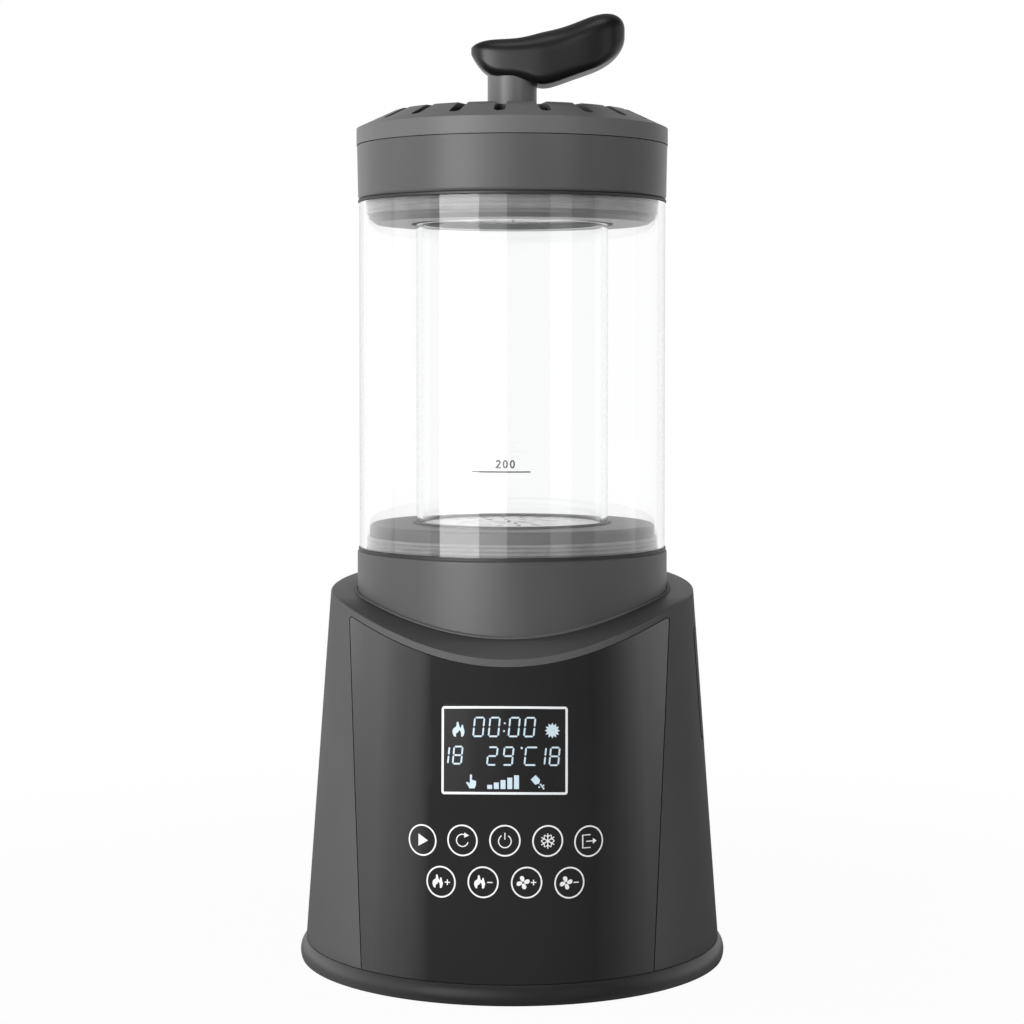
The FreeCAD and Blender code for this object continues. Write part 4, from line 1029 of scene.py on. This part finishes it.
def textLoops(look):
    loops = []
    place, low, height = look["left"], look["low"], look["height"]
    for sign in look["text"]:
        if sign == ":":
            half = digit["bar"] / 2
            dot = place + digit["colonAcross"]
            for level in digit["colonLevels"]:
                up = low + height * level
                loops.append(rectangle(dot - half, dot + half, up - half, up + half))
            place += look["pitch"] * digit["colonPitch"]
        else:
            left = place - height * digit["oneBack"] if sign == "1" else place
            loops += segmentLoops(sign, left, low, height, look.get("wide", digit["wide"]))
            place += look["pitch"]
    return [[(x + (z - low) * digit["lean"], z) for x, z in loop] for loop in loops]


def sunLoops(look):
    across, up = look["place"]
    loop = []
    for i in range(look["rays"] * 2):
        reach = look["radius"] * (look["valley"] if i % 2 else 1)
        a = math.pi * i / look["rays"]
        loop.append((across + reach * math.cos(a), up + reach * math.sin(a)))
    return [loop]


def handLoops():
    finger = rectangle(-0.45, 0.45, 0.2, 3.1)
    palm = [(-0.45, 0.2), (0.45, 0.2), (0.5, 0.75), (1.3, 0.65), (2.0, 0.45), (2.3, 0.1)]
    palm += [(2.2, -1.6), (1.6, -2.9), (-0.7, -2.9), (-1.3, -1.7), (-2.2, -0.5)]
    palm += [(-1.9, -0.1), (-1.4, -0.2), (-0.7, -0.9)]
    return [finger, palm]


def barLoops(look):
    loops = []
    for i in range(look["count"]):
        left = look["left"] + i * look["pitch"]
        high = look["low"] + look["shortest"] + look["rise"] * i
        loops.append(rectangle(left, left + look["wide"], look["low"], high))
    return loops


def scoopLoops(grainPoints):
    # a tipped scoop with five grains
    scoop = [(-2.6, 1.2), (-0.6, 3.1), (1.3, 1.1), (0.9, -0.4), (-0.8, -0.9)]
    grains = [(1.6, -0.9, 0.42), (2.15, -1.65, 0.42), (2.7, -2.4, 0.42)]
    grains += [(0.9, -1.9, 0.38), (2.7, -1.2, 0.36)]
    return [scoop] + [roundLoop(*grain, grainPoints) for grain in grains]


def buildReadout(look):
    loops = []
    for part in ("clock", "settingLeft", "temperature", "unit", "settingRight"):
        loops += textLoops(look[part])
    degree = look["degree"]
    loops += [roundLoop(*degree["place"], degree["radius"], degree["points"])]
    loops += sunLoops(look["sun"])
    loops += placed(handLoops(), look["hand"])
    loops += barLoops(look["bars"])
    loops += placed(scoopLoops(look["scoop"]["grainPoints"]), look["scoop"])
    shapes = drawEach("segment", moved(loops, look["across"], 0))
    flame = moved(placed(flameLoops(), look["flame"]), look["across"], 0)
    shapes += drawEach("flame", flame, smooth=True)
    marks = joinShapes(shapes, "displayMarks")
    wrapRound(marks, coneRadius, inkLayer["lift"], look["fall"])
    finishPrint(marks, "displayInk", "base", inkLayer["thickness"])


buildReadout(readout)


# raised pale line round the display, standing in the bezel

displayFrame = {
    "half": (25.4, 17.3),
    "corner": 1.2,
    "cornerSteps": 8,
    "line": 0.95,
    "longestRun": 1.5,
    "across": readout["across"],
    "level": 101.0,
    "fall": readout["fall"],
    "depth": 0.0006,
}


def frameLoop(look, inset):
    # round corners, and more points on the long runs, so that they bend
    corner = look["corner"] - inset
    halfWide, halfTall = (half - inset - corner for half in look["half"])
    loop = []
    for turn, (x, z) in zip(range(0, 360, 90), ((1, 1), (-1, 1), (-1, -1), (1, -1))):
        middle = (x * halfWide, z * halfTall)
        loop += arcPoints(*middle, corner, turn, turn + 90, look["cornerSteps"])
    points = []
    for i, (x, z) in enumerate(loop):
        nextX, nextZ = loop[(i + 1) % len(loop)]
        count = max(1, math.ceil(math.hypot(nextX - x, nextZ - z) / look["longestRun"]))
        points += [(x + (nextX - x) * k / count, z + (nextZ - z) * k / count) for k in range(count)]
    return points


def buildFrame(look):
    # made of short quads, because one filled shape bends along slivers
    outer = frameLoop(look, 0)
    inner = frameLoop(look, look["line"])
    runs = []
    for i in range(len(outer)):
        runs.append([outer[i - 1], outer[i], inner[i], inner[i - 1]])
    shapes = drawEach("run", moved(runs, look["across"], look["level"]))
    edge = joinShapes(shapes, "displayFrame")
    wrapRound(edge, coneRadius, inkLayer["lift"] - look["depth"], look["fall"])
    finishPrint(edge, "frameInk", "base", look["depth"] + inkLayer["thickness"])


buildFrame(displayFrame)
print("display drawn")


# fill mark on the inner tube

fillMark = {
    "level": 209.0,
    "line": 0.55,
    "left": -15.8,
    "right": 8.7,
    "steps": 24,
    "middle": (-1.6, 212.2),
    "pitch": 2.9,
    "digit": (1.05, 1.75),
    "digitPoints": 32,
    "stroke": 0.62,
    "bow": (165, -35, 12),
}


def lineLoop(look):
    step = (look["right"] - look["left"]) / look["steps"]
    edges = [look["left"] + step * i for i in range(look["steps"] + 1)]
    low, high = look["level"] - look["line"] / 2, look["level"] + look["line"] / 2
    return [(x, low) for x in edges] + [(x, high) for x in reversed(edges)]


def twoLoop(look):
    # a bow from its start to its end angle, then down to the foot
    half, tall = look["digit"]
    inset = look["stroke"] / 2
    bow = half - inset
    points = arcPoints(0, tall - half, bow, *look["bow"])
    points += [(-bow, inset - tall), (half, inset - tall)]
    return stroke(points, look["stroke"])


def zeroLoops(look):
    half, tall = look["digit"]
    ring = roundLoop(0, 0, 1, look["digitPoints"])
    insets = (0, look["stroke"])
    return [[(x * (half - inset), z * (tall - inset)) for x, z in ring] for inset in insets]


def buildFillMark(look):
    tubeLow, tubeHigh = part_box("inner_glass")
    tubeRadius = (tubeHigh.x - tubeLow.x) / 2
    across, up = look["middle"]
    shapes = [drawFlat("mark", [lineLoop(look)])]
    shapes.append(drawFlat("two", moved([twoLoop(look)], across - look["pitch"], up)))
    for step in (0, 1):
        shapes.append(drawFlat("zero", moved(zeroLoops(look), across + look["pitch"] * step, up)))
    mark = joinShapes(shapes, "fillMark")
    wrapRound(mark, lambda level: tubeRadius, inkLayer["lift"])
    finishPrint(mark, "markInk", "chamber", inkLayer["thickness"])


buildFillMark(fillMark)
print("fill mark printed")
